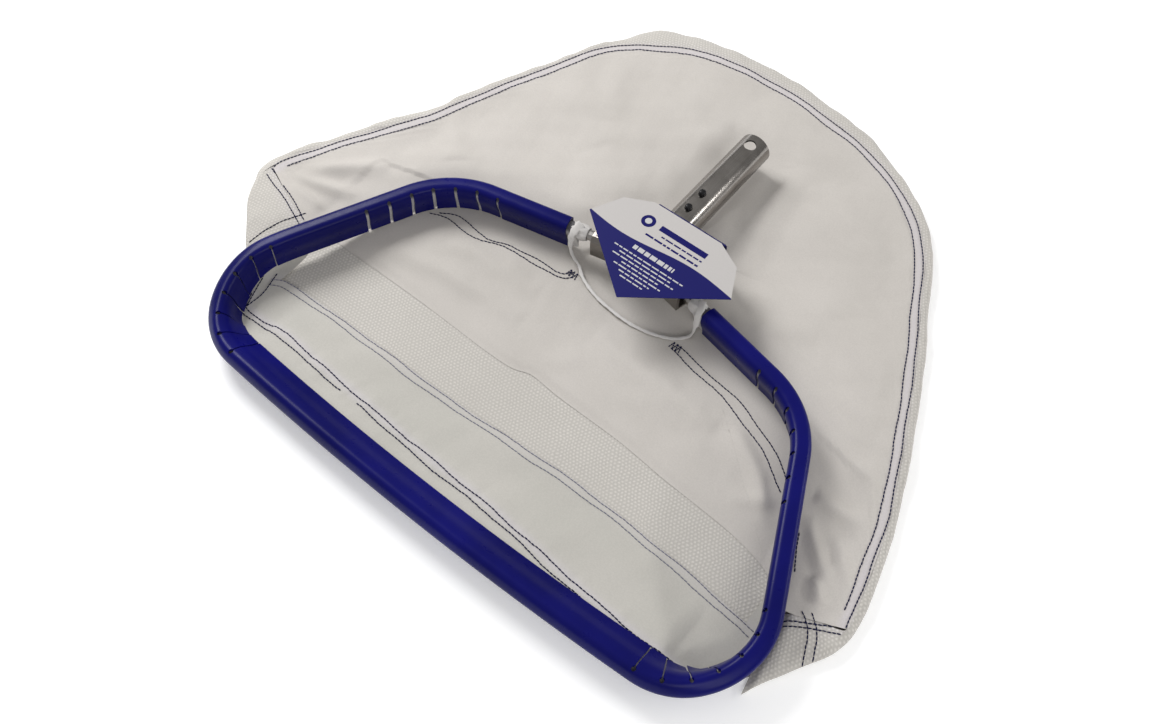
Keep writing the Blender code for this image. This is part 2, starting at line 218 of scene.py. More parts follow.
def blend(t):
    t = min(max(t, 0.0), 1.0)
    return t * t * (3 - 2 * t)


def ramp(value, knots):
    """Straight-line interpolation through (x, y) knots."""
    for (x0, y0), (x1, y1) in zip(knots, knots[1:]):
        if value <= x1:
            return y0 + (y1 - y0) * max(value - x0, 0.0) / (x1 - x0)
    return knots[-1][1]


def rounded(points, radii, step):
    """A polyline with each inner corner replaced by an arc of its own radius."""
    corners = [Vector(point) for point in points]
    path = [corners[0]]
    for before, here, after, radius in zip(corners, corners[1:], corners[2:], radii[1:]):
        back = (before - here).normalized()
        ahead = (after - here).normalized()
        half = back.angle(ahead) / 2
        centre = here + (back + ahead).normalized() * radius / math.sin(half)
        start = here + back * radius / math.tan(half) - centre
        end = here + ahead * radius / math.tan(half) - centre
        turn = start.angle_signed(end)
        count = max(3, math.ceil(abs(turn) * radius / step))
        for i in range(count + 1):
            path.append(centre + Matrix.Rotation(-turn * i / count, 2) @ start)
    path.append(corners[-1])
    return path


def split_long(path, longest):
    """The same path with no step longer than the given length."""
    result = [path[0]]
    for a, b in zip(path, path[1:]):
        count = max(1, math.ceil((b - a).length / longest))
        result += [a.lerp(b, i / count) for i in range(1, count + 1)]
    return result


rod_half = split_long(
    rounded([BACK_PEAK, SHOULDER, CORNER, (0.0, 0.0)], [0, SHOULDER_RADIUS, CORNER_RADIUS, 0], 0.0015),
    0.004,
)
for point in rod_half:
    point.y -= FRONT_BOW * (1 - (point.x / CORNER[0]) ** 2) * blend(1 - point.y / 0.067)
rod_line = rod_half + [Vector((-p.x, p.y)) for p in reversed(rod_half[:-1])]
rod_lengths = [0.0]
for a, b in zip(rod_line, rod_line[1:]):
    rod_lengths.append(rod_lengths[-1] + (b - a).length)
ROUND = rod_lengths[-1]


def line_at(distance):
    i = min(max(bisect_right(rod_lengths, distance) - 1, 0), len(rod_line) - 2)
    share = (distance - rod_lengths[i]) / (rod_lengths[i + 1] - rod_lengths[i])
    return rod_line[i].lerp(rod_line[i + 1], share)


def frame_at(distance):
    """Rod centre, lip direction, face direction and way ahead, at a distance round from the back peak."""
    point = line_at(distance)
    ahead = (line_at(distance + 0.004) - line_at(distance - 0.004)).normalized()
    out = Vector((-ahead.y, ahead.x, 0.0))
    tilt = math.radians(ramp(-out.y, [(-1, 88.7), (-0.45, 87.3), (0.6, 58.0), (1, 23.7)]))
    z = RAIL_HEIGHT - FRONT_DROP * blend(1 - point.y / 0.103)
    lip = -out * math.cos(tilt) - Vector((0, 0, math.sin(tilt)))
    face = -out * math.sin(tilt) + Vector((0, 0, math.cos(tilt)))
    return Vector((point.x, point.y + REST_Y, z)), lip, face, Vector((ahead.x, ahead.y, 0.0))


def sweep(bm, rings, closed_outline=True, capped=True):
    """Carries one outline along its rings by extruding its edges, with a face over each end."""
    ring = [bm.verts.new(point) for point in rings[0]]
    pairs = list(zip(ring, ring[1:])) + ([(ring[-1], ring[0])] if closed_outline else [])
    edges = [bm.edges.new(pair) for pair in pairs]
    first = list(edges)
    for points in rings[1:]:
        made = bmesh.ops.extrude_edge_only(bm, edges=edges)["geom"]
        fresh = {item for item in made if isinstance(item, bmesh.types.BMVert)}
        ring = [next(e.other_vert(v) for e in v.link_edges if e.other_vert(v) in fresh) for v in ring]
        for vertex, point in zip(ring, points):
            vertex.co = point
        pairs = list(zip(ring, ring[1:])) + ([(ring[-1], ring[0])] if closed_outline else [])
        edges = [next(e for e in a.link_edges if e.other_vert(a) is b) for a, b in pairs]
    if capped:
        bmesh.ops.contextual_create(bm, geom=first)
        bmesh.ops.contextual_create(bm, geom=edges)
    bmesh.ops.recalc_face_normals(bm, faces=bm.faces)


def curve_through(points, step):
    """A smooth line through its points, as a list spaced about a step apart."""
    points = [Vector(p) for p in points]
    ends = [points[0] * 2 - points[1], *points, points[-1] * 2 - points[-2]]
    line = []
    for p0, p1, p2, p3 in zip(ends, ends[1:], ends[2:], ends[3:]):
        count = max(1, round((p2 - p1).length / step))
        for i in range(count):
            t = i / count
            line.append(
                (p1 * 2 + (p2 - p0) * t + (p0 * 2 - p1 * 5 + p2 * 4 - p3) * t * t
                 + (p1 * 3 - p0 - p2 * 3 + p3) * t ** 3) / 2
            )
    line.append(points[-1])
    return line


STRIP_OUTER = 0.0077
STRIP_INNER = 0.0062
LIP_TIP = 0.0231
STRIP_END = 0.071 * 1.0231
SLIT_PITCH = 0.0203
SLITS_A_BEND = 7
SHOULDER_SLIT_START = 0.1375
CORNER_SLIT_START = 0.3425
SHOULDER_SLIT = 0.0026
CORNER_SLIT = 0.0010
KEYHOLE_RADIUS = 0.0018
KEYHOLE_FACE = -0.0050
KEYHOLE_BACK = 0.0030
KEYHOLE_POINTS = 14
PUNCH_START = 0.0006
PUNCH_DEPTH = 0.014
NOSE_SQUARE = 0.70

LIP_OUTSIDE = [(0.0035, 0.0073), (0.0075, 0.0062), (0.0115, 0.0048), (0.0160, 0.0035), (0.0228, 0.0025)]
LIP_INSIDE = [(0.0033, 0.0058), (0.0073, 0.0047), (0.0115, 0.0033), (0.0160, 0.0021), (0.0228, 0.0012)]
LIP_TIP_HALF = 0.0018

wall = []
for radius, lips in ((STRIP_OUTER, LIP_OUTSIDE), (STRIP_INNER, LIP_INSIDE)):
    side = []
    for degrees in range(0, 96, 7):
        along, over = math.cos(math.radians(degrees)), math.sin(math.radians(degrees))
        side.append((-radius * math.copysign(abs(along) ** NOSE_SQUARE, along), radius * over ** NOSE_SQUARE))
    side += lips
    wall.append([(k, -h) for k, h in reversed(side)] + side[1:])
strip_outline = wall[0] + [(LIP_TIP, LIP_TIP_HALF)] + list(reversed(wall[1])) + [(LIP_TIP, -LIP_TIP_HALF)]

slits = []
for i in range(SLITS_A_BEND):
    slits.append((SHOULDER_SLIT_START + i * SLIT_PITCH, SHOULDER_SLIT))
    slits.append((CORNER_SLIT_START + i * 0.0198, CORNER_SLIT))
slits += [(ROUND - distance, width) for distance, width in slits]
slits.sort()
draw = random.Random(7)
fingers = []
for i in range(len(slits) + 1):
    swing = 0.055 if slits[min(i, len(slits) - 1)][1] == CORNER_SLIT else 0.020
    fingers.append((draw.uniform(-swing, swing), draw.uniform(-0.0011, 0.0004) * swing / 0.055))
for i, (distance, width) in enumerate(slits):
    if i and distance - slits[i - 1][0] > 0.03:
        fingers[i] = (0.0, 0.0)
fingers[0] = fingers[-1] = (0.0, 0.0)


def strip_stations():
    """(distance, (lip tilt, lip reach)) round the strip, with a step across each slit."""
    stations = []
    distance = STRIP_END
    while distance < ROUND - STRIP_END:
        stations.append(distance)
        distance += 0.0032
    stations.append(ROUND - STRIP_END)
    marks = [s for s, _ in slits]
    kept = [s for s in stations if all(abs(s - m) > 0.0012 for m in marks)]
    result = [(s, fingers[bisect_right(marks, s)]) for s in kept]
    for i, (mark, width) in enumerate(slits):
        result += [(mark - 0.3 * width, fingers[i]), (mark + 0.3 * width, fingers[i + 1])]
    return sorted(result)


def strip_ring(distance, finger, outline):
    """The outline at one place on the frame, its lips swung and drawn back as their finger is."""
    centre, lip, face, _ = frame_at(distance)
    tilt, reach = finger
    points = []
    for k, h in outline:
        bent = blend((k - 0.003) / 0.012)
        points.append(centre + lip * (k + bent * reach) + face * (h + bent * k * tilt))
    return points


bm = bmesh.new()
sweep(bm, [strip_ring(s, finger, strip_outline) for s, finger in strip_stations()])

strip_material, tree, shader, place = new_material("navy_plastic", NAVY, 0.33)
shader.inputs["Specular IOR Level"].default_value = 0.11
cloudy = noise_node(tree, place, 14.0, 4.0)
rub = noise_node(tree, place, 130.0, 2.0, 0.5)
tint(tree, shader, span_node(tree, cloudy, 0.35, 0.7), (0.0024, 0.0028, 0.078), (0.0044, 0.0046, 0.122))
tree.links.new(span_node(tree, rub, 0.3, 0.7, 0.27, 0.33), shader.inputs["Roughness"])
bump(tree, shader, rub, 0.05, 0.0001)
edge_strip = make_object("plastic_edge_strip", bm, strip_material, 38.0)


def corners_of(made):
    """The vertices among what an extrusion made."""
    return [item for item in made if isinstance(item, bmesh.types.BMVert)]


bm = bmesh.new()
for distance, width in slits:
    centre, lip, face, ahead = frame_at(distance)
    opening = math.asin(width / 2 / KEYHOLE_RADIUS)
    for side, up in ((face, KEYHOLE_FACE), (-face, KEYHOLE_BACK)):
        outline = [(width / 2, LIP_TIP + 0.004), (-width / 2, LIP_TIP + 0.004)]
        for i in range(KEYHOLE_POINTS + 1):
            angle = opening + (2 * math.pi - 2 * opening) * i / KEYHOLE_POINTS
            outline.append((-KEYHOLE_RADIUS * math.sin(angle), up + KEYHOLE_RADIUS * math.cos(angle)))
        rim = [bm.verts.new(centre + ahead * a + lip * k + side * PUNCH_START) for a, k in outline]
        made = bmesh.ops.extrude_face_region(bm, geom=[bm.faces.new(rim)])["geom"]
        bmesh.ops.translate(bm, verts=corners_of(made), vec=side * PUNCH_DEPTH)
bmesh.ops.recalc_face_normals(bm, faces=bm.faces)
cutter = make_object("slit_cutter", bm, strip_material)


def carve(piece, tool):
    """Takes the tool away from the piece, applies the result and removes the tool."""
    cut = piece.modifiers.new("carve", "BOOLEAN")
    cut.object, cut.operation, cut.solver = tool, "DIFFERENCE", "EXACT"
    bpy.context.view_layer.update()
    graph = bpy.context.evaluated_depsgraph_get()
    mesh = bpy.data.meshes.new_from_object(piece.evaluated_get(graph))
    piece.modifiers.clear()
    piece.data = mesh
    for polygon in mesh.polygons:
        polygon.use_smooth = True
    mesh.set_sharp_from_angle(angle=math.radians(35.0))
    bpy.data.objects.remove(tool)


carve(edge_strip, cutter)
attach(edge_strip, "rake")
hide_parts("edge_strip")


# ---------------------------------------------------------------- Metal parts
# Aluminium rod ends, crossbar, rivets, bolt, washer and nut: each is the frame's own shape with its facets
# joined and a satin mill finish, and all but the rod ends have their edges eased. The clips stay bare spring
# steel.
def brushed_metal():
    """Node group: fine lines drawn along one axis, with slow smudges, for roughness, tone and bump."""
    group = bpy.data.node_groups.new("brushed_metal", "ShaderNodeTree")
    group.interface.new_socket("Vector", in_out="INPUT", socket_type="NodeSocketVector")
    for name in ("Lines", "Smudge"):
        group.interface.new_socket(name, in_out="OUTPUT", socket_type="NodeSocketFloat")
    inside = group.nodes.new("NodeGroupInput").outputs["Vector"]
    outside = group.nodes.new("NodeGroupOutput")
    lines = noise_node(group, stretched(group, inside, (2600.0, 26.0, 2600.0)), 1.0, 3.0, 0.6)
    smudge = noise_node(group, inside, 45.0, 4.0, 0.6, 0.4)
    group.links.new(lines, outside.inputs["Lines"])
    group.links.new(smudge, outside.inputs["Smudge"])
    return group


brushed = brushed_metal()


def metal(name, dark, light, roughness, turn=0.0):
    material, tree, shader, place = new_material(name, light, roughness, 1.0)
    lay = tree.nodes.new("ShaderNodeMapping")
    lay.inputs["Rotation"].default_value = (0.0, 0.0, turn)
    tree.links.new(place, lay.inputs["Vector"])
    node = tree.nodes.new("ShaderNodeGroup")
    node.node_tree = brushed
    tree.links.new(lay.outputs["Vector"], node.inputs["Vector"])
    smudge = math_node(tree, "MULTIPLY", node.outputs["Smudge"], 0.7)
    share = math_node(tree, "MULTIPLY_ADD", node.outputs["Lines"], 0.4, smudge)
    tint(tree, shader, span_node(tree, share, 0.35, 0.75), dark, light)
    rough = span_node(tree, node.outputs["Smudge"], 0.3, 0.7, roughness - 0.06, roughness + 0.08)
    tree.links.new(rough, shader.inputs["Roughness"])
    bump(tree, shader, node.outputs["Lines"], 0.06, 0.0001)
    return material


tube_metal = metal("satin_tube", (0.20, 0.185, 0.170), (0.32, 0.30, 0.28), 0.20)
bar_metal = metal("mill_bar", (0.19, 0.17, 0.155), (0.33, 0.31, 0.285), 0.34, math.radians(78.0))
rod_metal = metal("rod_end", (0.35, 0.33, 0.31), (0.55, 0.53, 0.51), 0.32, math.radians(78.0))
fastener_metal = metal("zinc_fastener", (0.42, 0.42, 0.42), (0.62, 0.61, 0.60), 0.28)
spring_metal = metal("spring_steel", (0.30, 0.31, 0.33), (0.55, 0.56, 0.58), 0.22)


def eased_copy(name, node, material, body, ease, sharp=28.0):
    """The frame's own solid with flat faces joined and its edges rounded off."""
    bm = bmesh.new()
    bm.from_mesh(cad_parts[node].data)
    bmesh.ops.remove_doubles(bm, verts=bm.verts, dist=0.00002)
    bmesh.ops.dissolve_limit(bm, angle_limit=math.radians(1.0), verts=bm.verts, edges=bm.edges)
    edges = [e for e in bm.edges if len(e.link_faces) == 2 and e.calc_face_angle() > math.radians(sharp)]
    if ease:
        bmesh.ops.bevel(
            bm, geom=edges, offset=ease, offset_type="OFFSET", affect="EDGES", segments=2, profile=0.5,
            material=-1, clamp_overlap=True,
        )
    piece = make_object(name, bm, material, 30.0)
    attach(piece, body)
    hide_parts(node)
    return piece


eased_copy("crossbar_extrusion", "crossbar", bar_metal, "rake", 0.0005)
eased_copy("rod_bow", "frame_rod", rod_metal, "rake", 0.0)
for node in ("rod_rivet_left", "rod_rivet_right", "handle_bolt", "handle_washer", "handle_nut"):
    eased_copy(node + "_eased", node, fastener_metal, "rake", 0.0002)
for node in ("spring_clip_front", "spring_clip_rear"):
    for i in range(len(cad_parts[node].data.materials)):
        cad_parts[node].data.materials[i] = spring_metal


# ---------------------------------------------------------------- Handle socket tube
# A drawn aluminium tube that takes the pole: eased ends, a hanging hole near its end and two
# pairs of holes for the snap buttons, drilled right through.
TUBE_OUTER = 0.0143
TUBE_INNER = 0.0127
HANG_HOLE_Y = 0.4115
HANG_HOLE = 0.0055
CLIP_YS = {"front": 0.3218, "rear": 0.3413}
BUTTON_RADIUS = 0.0031
BOLT_HOLE_Y = 0.268
BOLT_HOLE = 0.0033
tube_low, tube_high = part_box("handle_tube")
bm = bmesh.new()
ease = 0.0004
profile = [
    (TUBE_INNER, tube_low.y + ease), (TUBE_INNER + ease, tube_low.y), (TUBE_OUTER - ease, tube_low.y),
    (TUBE_OUTER, tube_low.y + ease), (TUBE_OUTER, tube_high.y - ease),
    (TUBE_OUTER - ease / 3, tube_high.y - ease / 3), (TUBE_OUTER - ease, tube_high.y),
    (TUBE_INNER + ease, tube_high.y), (TUBE_INNER, tube_high.y - ease),
]
ring = [bm.verts.new((r, y, RAIL_HEIGHT)) for r, y in profile]
edges = [bm.edges.new(pair) for pair in zip(ring, ring[1:] + ring[:1])]
bmesh.ops.spin(
    bm, geom=ring + edges, cent=(0, 0, RAIL_HEIGHT), axis=(0, 1, 0), angle=2 * math.pi, steps=96,
    use_merge=True,
)
bmesh.ops.remove_doubles(bm, verts=bm.verts, dist=0.000005)
bmesh.ops.recalc_face_normals(bm, faces=bm.faces)
tube = make_object("handle_socket", bm, tube_metal, 30.0)
bm = bmesh.new()
button_hole = BUTTON_RADIUS + 0.0003
for y, radius in ((HANG_HOLE_Y, HANG_HOLE), (CLIP_YS["front"], button_hole),
                  (CLIP_YS["rear"], button_hole), (BOLT_HOLE_Y, BOLT_HOLE)):
    bmesh.ops.create_cone(
        bm, cap_ends=True, segments=40, radius1=radius, radius2=radius, depth=0.04,
        matrix=Matrix.Translation((0, y + REST_Y, RAIL_HEIGHT)),
    )
carve(tube, make_object("hole_drills", bm, tube_metal))
# The bore gets its own near-black material, mottled by noise: painted shade for the dark inside of the tube.
bore_shade_metal, tree, shader, place = new_material("tube_bore_shade", (0.035, 0.034, 0.033), 0.6, 0.6)
bore_shade_noise = noise_node(tree, place, 120.0, 4.0)
tint(tree, shader, bore_shade_noise, (0.020, 0.019, 0.018), (0.060, 0.057, 0.054))
tube.data.materials.append(bore_shade_metal)
for polygon in tube.data.polygons:
    if math.hypot(polygon.center.x, polygon.center.z - RAIL_HEIGHT) < TUBE_INNER + 0.0002:
        polygon.material_index = 1
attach(tube, "rake")
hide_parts("handle_tube")


# ---------------------------------------------------------------- Snap buttons
# Four dark domed pins, two above and two below, each with a flange that stops it inside the tube.
# A spring clip holds each pair out, and each pin slides straight into the tube.
BUTTON_TOP = 0.0181
FLANGE = (0.0096, 0.0113)
FLANGE_RADIUS = 0.0042
DOME_HEIGHT = 0.0016
DOME_FLAT = 0.0008
button_material, tree, shader, place = new_material("button_nylon", (0.012, 0.012, 0.013), 0.36)
wear = noise_node(tree, place, 700.0, 4.0, 0.6)
tint(tree, shader, span_node(tree, wear, 0.45, 0.75), (0.006, 0.006, 0.007), (0.018, 0.017, 0.017))
bump(tree, shader, wear, 0.10, 0.0001)
shader.inputs["Specular IOR Level"].default_value = 0.2
for place_name, y in CLIP_YS.items():
    for side, up in (("top", 1.0), ("bottom", -1.0)):
        node = f"button_{place_name}_{side}"
        r = BUTTON_RADIUS
        flange_low, flange_high = FLANGE
        shoulder = BUTTON_TOP - DOME_HEIGHT
        profile = [(0.0, flange_low), (0.0038, flange_low), (FLANGE_RADIUS, flange_low + 0.0003)]
        profile += [(FLANGE_RADIUS, flange_high - 0.0003), (0.0039, flange_high)]
        profile += [(r, flange_high), (r, shoulder)]
        for angle in (math.radians(a) for a in (18, 36, 54, 72, 90)):
            round_in = DOME_FLAT + (r - DOME_FLAT) * math.cos(angle)
            profile.append((round_in, shoulder + DOME_HEIGHT * math.sin(angle)))
        profile.append((0.0, BUTTON_TOP))
        bm = bmesh.new()
        line = [bm.verts.new((radius, y + REST_Y, RAIL_HEIGHT + up * height)) for radius, height in profile]
        edges = [bm.edges.new(pair) for pair in zip(line, line[1:])]
        bmesh.ops.spin(
            bm, geom=line + edges, cent=(0, y + REST_Y, 0), axis=(0, 0, 1), angle=2 * math.pi, steps=32,
            use_merge=True,
        )
        bmesh.ops.remove_doubles(bm, verts=bm.verts, dist=0.000005)
        bmesh.ops.recalc_face_normals(bm, faces=bm.faces)
        pin = make_object(f"snap_pin_{place_name}_{side}", bm, button_material, 35.0)
        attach(pin, node)
        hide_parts(node)


# ---------------------------------------------------------------- Upper net panel
# One broad piece of fine white mesh, cut as a wide dome. It is sewn to the gusset round its edge,
# lies under the back arms and the handle, and rolls under itself inside the mouth.
def knit_fine():
    """Node group: height and thread mask of a fine plain knit, from flat coordinates."""
    group = bpy.data.node_groups.new("knit_fine", "ShaderNodeTree")
    group.interface.new_socket("Vector", in_out="INPUT", socket_type="NodeSocketVector")
    group.interface.new_socket("Pitch", in_out="INPUT", socket_type="NodeSocketFloat")
    group.interface.new_socket("Height", in_out="OUTPUT", socket_type="NodeSocketFloat")
    inside = group.nodes.new("NodeGroupInput")
    outside = group.nodes.new("NodeGroupOutput")
    parts = group.nodes.new("ShaderNodeSeparateXYZ")
    group.links.new(inside.outputs["Vector"], parts.inputs[0])
    turn = math_node(group, "DIVIDE", 2 * math.pi, inside.outputs["Pitch"])
    waves = []
    for axis in ("X", "Y"):
        waves.append(math_node(group, "SINE", math_node(group, "MULTIPLY", parts.outputs[axis], turn)))
    both = math_node(group, "MULTIPLY", waves[0], waves[1])
    height = math_node(group, "MULTIPLY_ADD", both, 0.5, 0.5)
    group.links.new(height, outside.inputs["Height"])
    return group


def knit_honeycomb():
    """Node group: height of a coarse knit whose holes lie like a honeycomb, from flat coordinates."""
    group = bpy.data.node_groups.new("knit_honeycomb", "ShaderNodeTree")
    group.interface.new_socket("Vector", in_out="INPUT", socket_type="NodeSocketVector")
    group.interface.new_socket("Pitch", in_out="INPUT", socket_type="NodeSocketFloat")
    group.interface.new_socket("Height", in_out="OUTPUT", socket_type="NodeSocketFloat")
    inside = group.nodes.new("NodeGroupInput")
    outside = group.nodes.new("NodeGroupOutput")
    parts = group.nodes.new("ShaderNodeSeparateXYZ")
    group.links.new(inside.outputs["Vector"], parts.inputs[0])
    turn = math_node(group, "DIVIDE", 2 * math.pi * 1.1547, inside.outputs["Pitch"])
    total = 0.0
    for degrees in (90, 210, 330):
        across = math.cos(math.radians(degrees))
        along = math.sin(math.radians(degrees))
        rise = math_node(group, "MULTIPLY", parts.outputs["Y"], along)
        way = math_node(group, "MULTIPLY_ADD", parts.outputs["X"], across, rise)
        wave = math_node(group, "COSINE", math_node(group, "MULTIPLY", way, turn))
        total = math_node(group, "ADD", wave, total)
    height = span_node(group, total, -0.9, 2.6)
    group.links.new(height, outside.inputs["Height"])
    return group


fine_knit = knit_fine()
coarse_knit = knit_honeycomb()


def cloth(name, shade, light, knit, pitch, depth, contrast, seam_tint=(0.64, 0.60, 0.68)):
    """Off-white mesh fabric: slow cloudy tone, knit relief, and a lilac cast where a seam is doubled."""
    material, tree, shader, place = new_material(name, light, 0.82)
    shader.inputs["Sheen Weight"].default_value = 0.10
    shader.inputs["Sheen Roughness"].default_value = 0.5
    shader.inputs["Specular IOR Level"].default_value = 0.25
    waver = noise_node(tree, place, 60.0, 2.0)
    shifted = tree.nodes.new("ShaderNodeVectorMath")
    shifted.operation = "MULTIPLY_ADD"
    shifted.inputs[1].default_value = (0.004, 0.003, 0.0)
    tree.links.new(waver, shifted.inputs[0])
    tree.links.new(place, shifted.inputs[2])
    node = tree.nodes.new("ShaderNodeGroup")
    node.node_tree = knit
    node.inputs["Pitch"].default_value = pitch
    tree.links.new(shifted.outputs[0], node.inputs["Vector"])
    cloudy = noise_node(tree, place, 9.0, 4.0, 0.55)
    base = mix_colour(tree, span_node(tree, cloudy, 0.3, 0.7), shade, light)
    seam = tree.nodes.new("ShaderNodeAttribute")
    seam.attribute_name = "seam"
    base = mix_colour(tree, math_node(tree, "MULTIPLY", seam.outputs["Fac"], 0.55), base, seam_tint)
    dark = tuple(c * (1 - contrast) for c in shade)
    holes = math_node(tree, "MULTIPLY", math_node(tree, "SUBTRACT", 1.0, node.outputs["Height"]), 0.8)
    base = mix_colour(tree, holes, base, dark)
    # Painted shade: the cloth is darkened to near black wherever the hem's shade attribute is set.
    painted_shade_node = tree.nodes.new("ShaderNodeAttribute")
    painted_shade_node.attribute_name = "painted_shade"
    base = mix_colour(tree, math_node(tree, "MULTIPLY", painted_shade_node.outputs["Fac"], 0.93), base, (0.02, 0.02, 0.03))
    grain = span_node(tree, noise_node(tree, place, 820.0, 2.0, 0.6), 0.32, 0.68, 0.0, 0.16)
    base = mix_colour(tree, grain, base, tuple(c * 0.55 for c in shade))
    tree.links.new(base, shader.inputs["Base Color"])
    fuzz = noise_node(tree, place, 1500.0, 2.0)
    height = math_node(tree, "MULTIPLY_ADD", fuzz, 0.35, node.outputs["Height"])
    bump(tree, shader, height, 0.55, depth)
    return material


FINE_KNIT = (fine_knit, 0.0011, 0.00012, 0.10)
COARSE_KNIT = (coarse_knit, 0.0031, 0.00036, 0.22)
HEM_KNIT = (fine_knit, 0.0009, 0.00010, 0.08)
fine_mesh = cloth("fine_mesh", (0.520, 0.490, 0.455), (0.615, 0.580, 0.545), *FINE_KNIT)
coarse_mesh = cloth("coarse_mesh", (0.565, 0.538, 0.498), (0.640, 0.612, 0.570), *COARSE_KNIT)
strip_mesh = cloth("front_mesh", (0.480, 0.465, 0.425), (0.560, 0.535, 0.495), *FINE_KNIT)
hem_cloth = cloth("hem_cloth", (0.640, 0.620, 0.600), (0.720, 0.700, 0.680), *HEM_KNIT)


def line_distance(x, y, line):
    """Distance of each point from a line, and the share of the line where it is nearest."""
    nearest = np.full(x.shape, 9.0)
    share = np.zeros(x.shape)
    for i, (a, b) in enumerate(zip(line, line[1:])):
        dx, dy = b[0] - a[0], b[1] - a[1]
        t = np.clip(((x - a[0]) * dx + (y - a[1]) * dy) / max(dx * dx + dy * dy, 1e-12), 0, 1)
        d = np.hypot(x - a[0] - t * dx, y - a[1] - t * dy)
        near = d < nearest
        nearest[near] = d[near]
        share[near] = (i + t[near]) / (len(line) - 1)
    return nearest, share


def smooth(t):
    t = np.clip(t, 0, 1)
    return t * t * (3 - 2 * t)


def slow_waves(x, y, seed, longest, shortest, count):
    """Soft undulation of about one unit, as a sum of long and short waves."""
    rng = np.random.default_rng(seed)
    total = np.zeros(x.shape)
    power = 0.0
    for i in range(count):
        length = longest * (shortest / longest) ** (i / max(count - 1, 1))
        angle, phase = rng.uniform(0, math.pi), rng.uniform(0, 2 * math.pi)
        size = length / longest
        total += size * np.sin(2 * math.pi * (x * math.cos(angle) + y * math.sin(angle)) / length + phase)
        power += size * size / 2
    return total / math.sqrt(power) / 1.6


DOME_SEAM = [
    (-0.3265, -0.103), (-0.325, -0.092), (-0.310, -0.059), (-0.2885, -0.018), (-0.2705, 0.014),
    (-0.2585, 0.041), (-0.2365, 0.0995), (-0.212, 0.1575), (-0.196, 0.196), (-0.174, 0.220),
    (-0.150, 0.238), (-0.118, 0.255), (-0.085, 0.263), (-0.023, 0.265), (0.030, 0.258),
    (0.073, 0.249), (0.1185, 0.228), (0.1455, 0.208), (0.169, 0.1815), (0.185, 0.152),
    (0.202, 0.1165), (0.220, 0.0805), (0.240, 0.036), (0.258, -0.008), (0.274, -0.050),
    (0.285, -0.092), (0.291, -0.120), (0.295, -0.141),
]
LEFT_CORNER_SEAM = [(-0.2505, -0.1280), (-0.262, -0.127), (-0.295, -0.116), (-0.3265, -0.103)]
RIGHT_CORNER_SEAM = [(0.295, -0.141), (0.279, -0.148), (0.262, -0.155), (0.250, -0.158)]
FOLD_LINE = [
    (0.240, -0.150), (0.224, -0.138), (0.187, -0.130), (0.124, -0.126), (0.078, -0.122), (0.018, -0.121),
    (-0.014, -0.119), (-0.030, -0.124), (-0.060, -0.125), (-0.131, -0.123), (-0.222, -0.123),
    (-0.244, -0.124),
]
SEAM_HEIGHT = 0.0120
PANEL_HEIGHT = 0.0084
KEYHOLE_EDGE = [
    (-0.056, -0.012), (-0.050, -0.014), (-0.039, -0.022), (-0.021, -0.029), (-0.003, -0.032),
    (0.018, -0.033), (0.037, -0.030), (0.054, -0.023), (0.062, -0.015), (0.066, -0.012),
]
SOFT_FOLDS = [
    # crest line, width and rise of each slack fold
    ([(-0.253, 0.055), (-0.206, 0.004)], 0.012, 0.0035),
    ([(-0.215, 0.161), (-0.120, 0.102)], 0.022, 0.0030),
    ([(-0.179, 0.208), (-0.131, 0.131)], 0.018, 0.0028),
    ([(-0.104, 0.186), (0.005, 0.144)], 0.020, 0.0025),
    ([(-0.036, 0.250), (0.081, 0.215)], 0.016, 0.0025),
    ([(0.058, 0.068), (0.044, 0.133), (0.030, 0.194)], 0.013, 0.0035),
    ([(0.160, 0.086), (0.215, 0.034)], 0.016, 0.0030),
    ([(0.080, 0.021), (0.145, 0.049)], 0.014, 0.0022),
    ([(0.225, -0.085), (0.274, -0.128)], 0.006, 0.0034),
    ([(0.250, -0.085), (0.289, -0.120)], 0.006, 0.0034),
    ([(0.255, -0.122), (0.272, -0.138)], 0.0045, 0.0045),
    ([(0.220, -0.067), (0.262, -0.064)], 0.007, 0.0035),
    ([(-0.313, -0.100), (-0.249, -0.079)], 0.0065, 0.0035),
    ([(-0.306, -0.090), (-0.249, -0.035)], 0.008, 0.0035),
    ([(-0.300, -0.106), (-0.262, -0.108)], 0.0055, 0.0030),
    ([(-0.217, -0.115), (-0.137, -0.092), (-0.053, -0.085)], 0.010, 0.0026),
    ([(-0.153, -0.062), (-0.059, -0.055)], 0.010, 0.0020),
    ([(0.004, -0.060), (0.130, -0.066)], 0.011, 0.0024),
    ([(0.140, -0.060), (0.176, -0.080), (0.206, -0.112)], 0.007, 0.0030),
    ([(0.170, -0.110), (0.212, -0.085)], 0.006, 0.0022),
    ([(-0.029, -0.124), (0.010, -0.085)], 0.009, 0.0020),
    ([(0.200, 0.075), (0.225, -0.010)], 0.012, 0.0024),
    ([(0.060, 0.190), (0.150, 0.150)], 0.016, 0.0020),
    ([(0.235, -0.020), (0.262, -0.045)], 0.008, 0.0026),
]
rail_sketch = [(p.x, p.y + REST_Y) for p in rod_line[::6]]
seam_sketch = [tuple(p) for p in curve_through(DOME_SEAM, 0.012)]


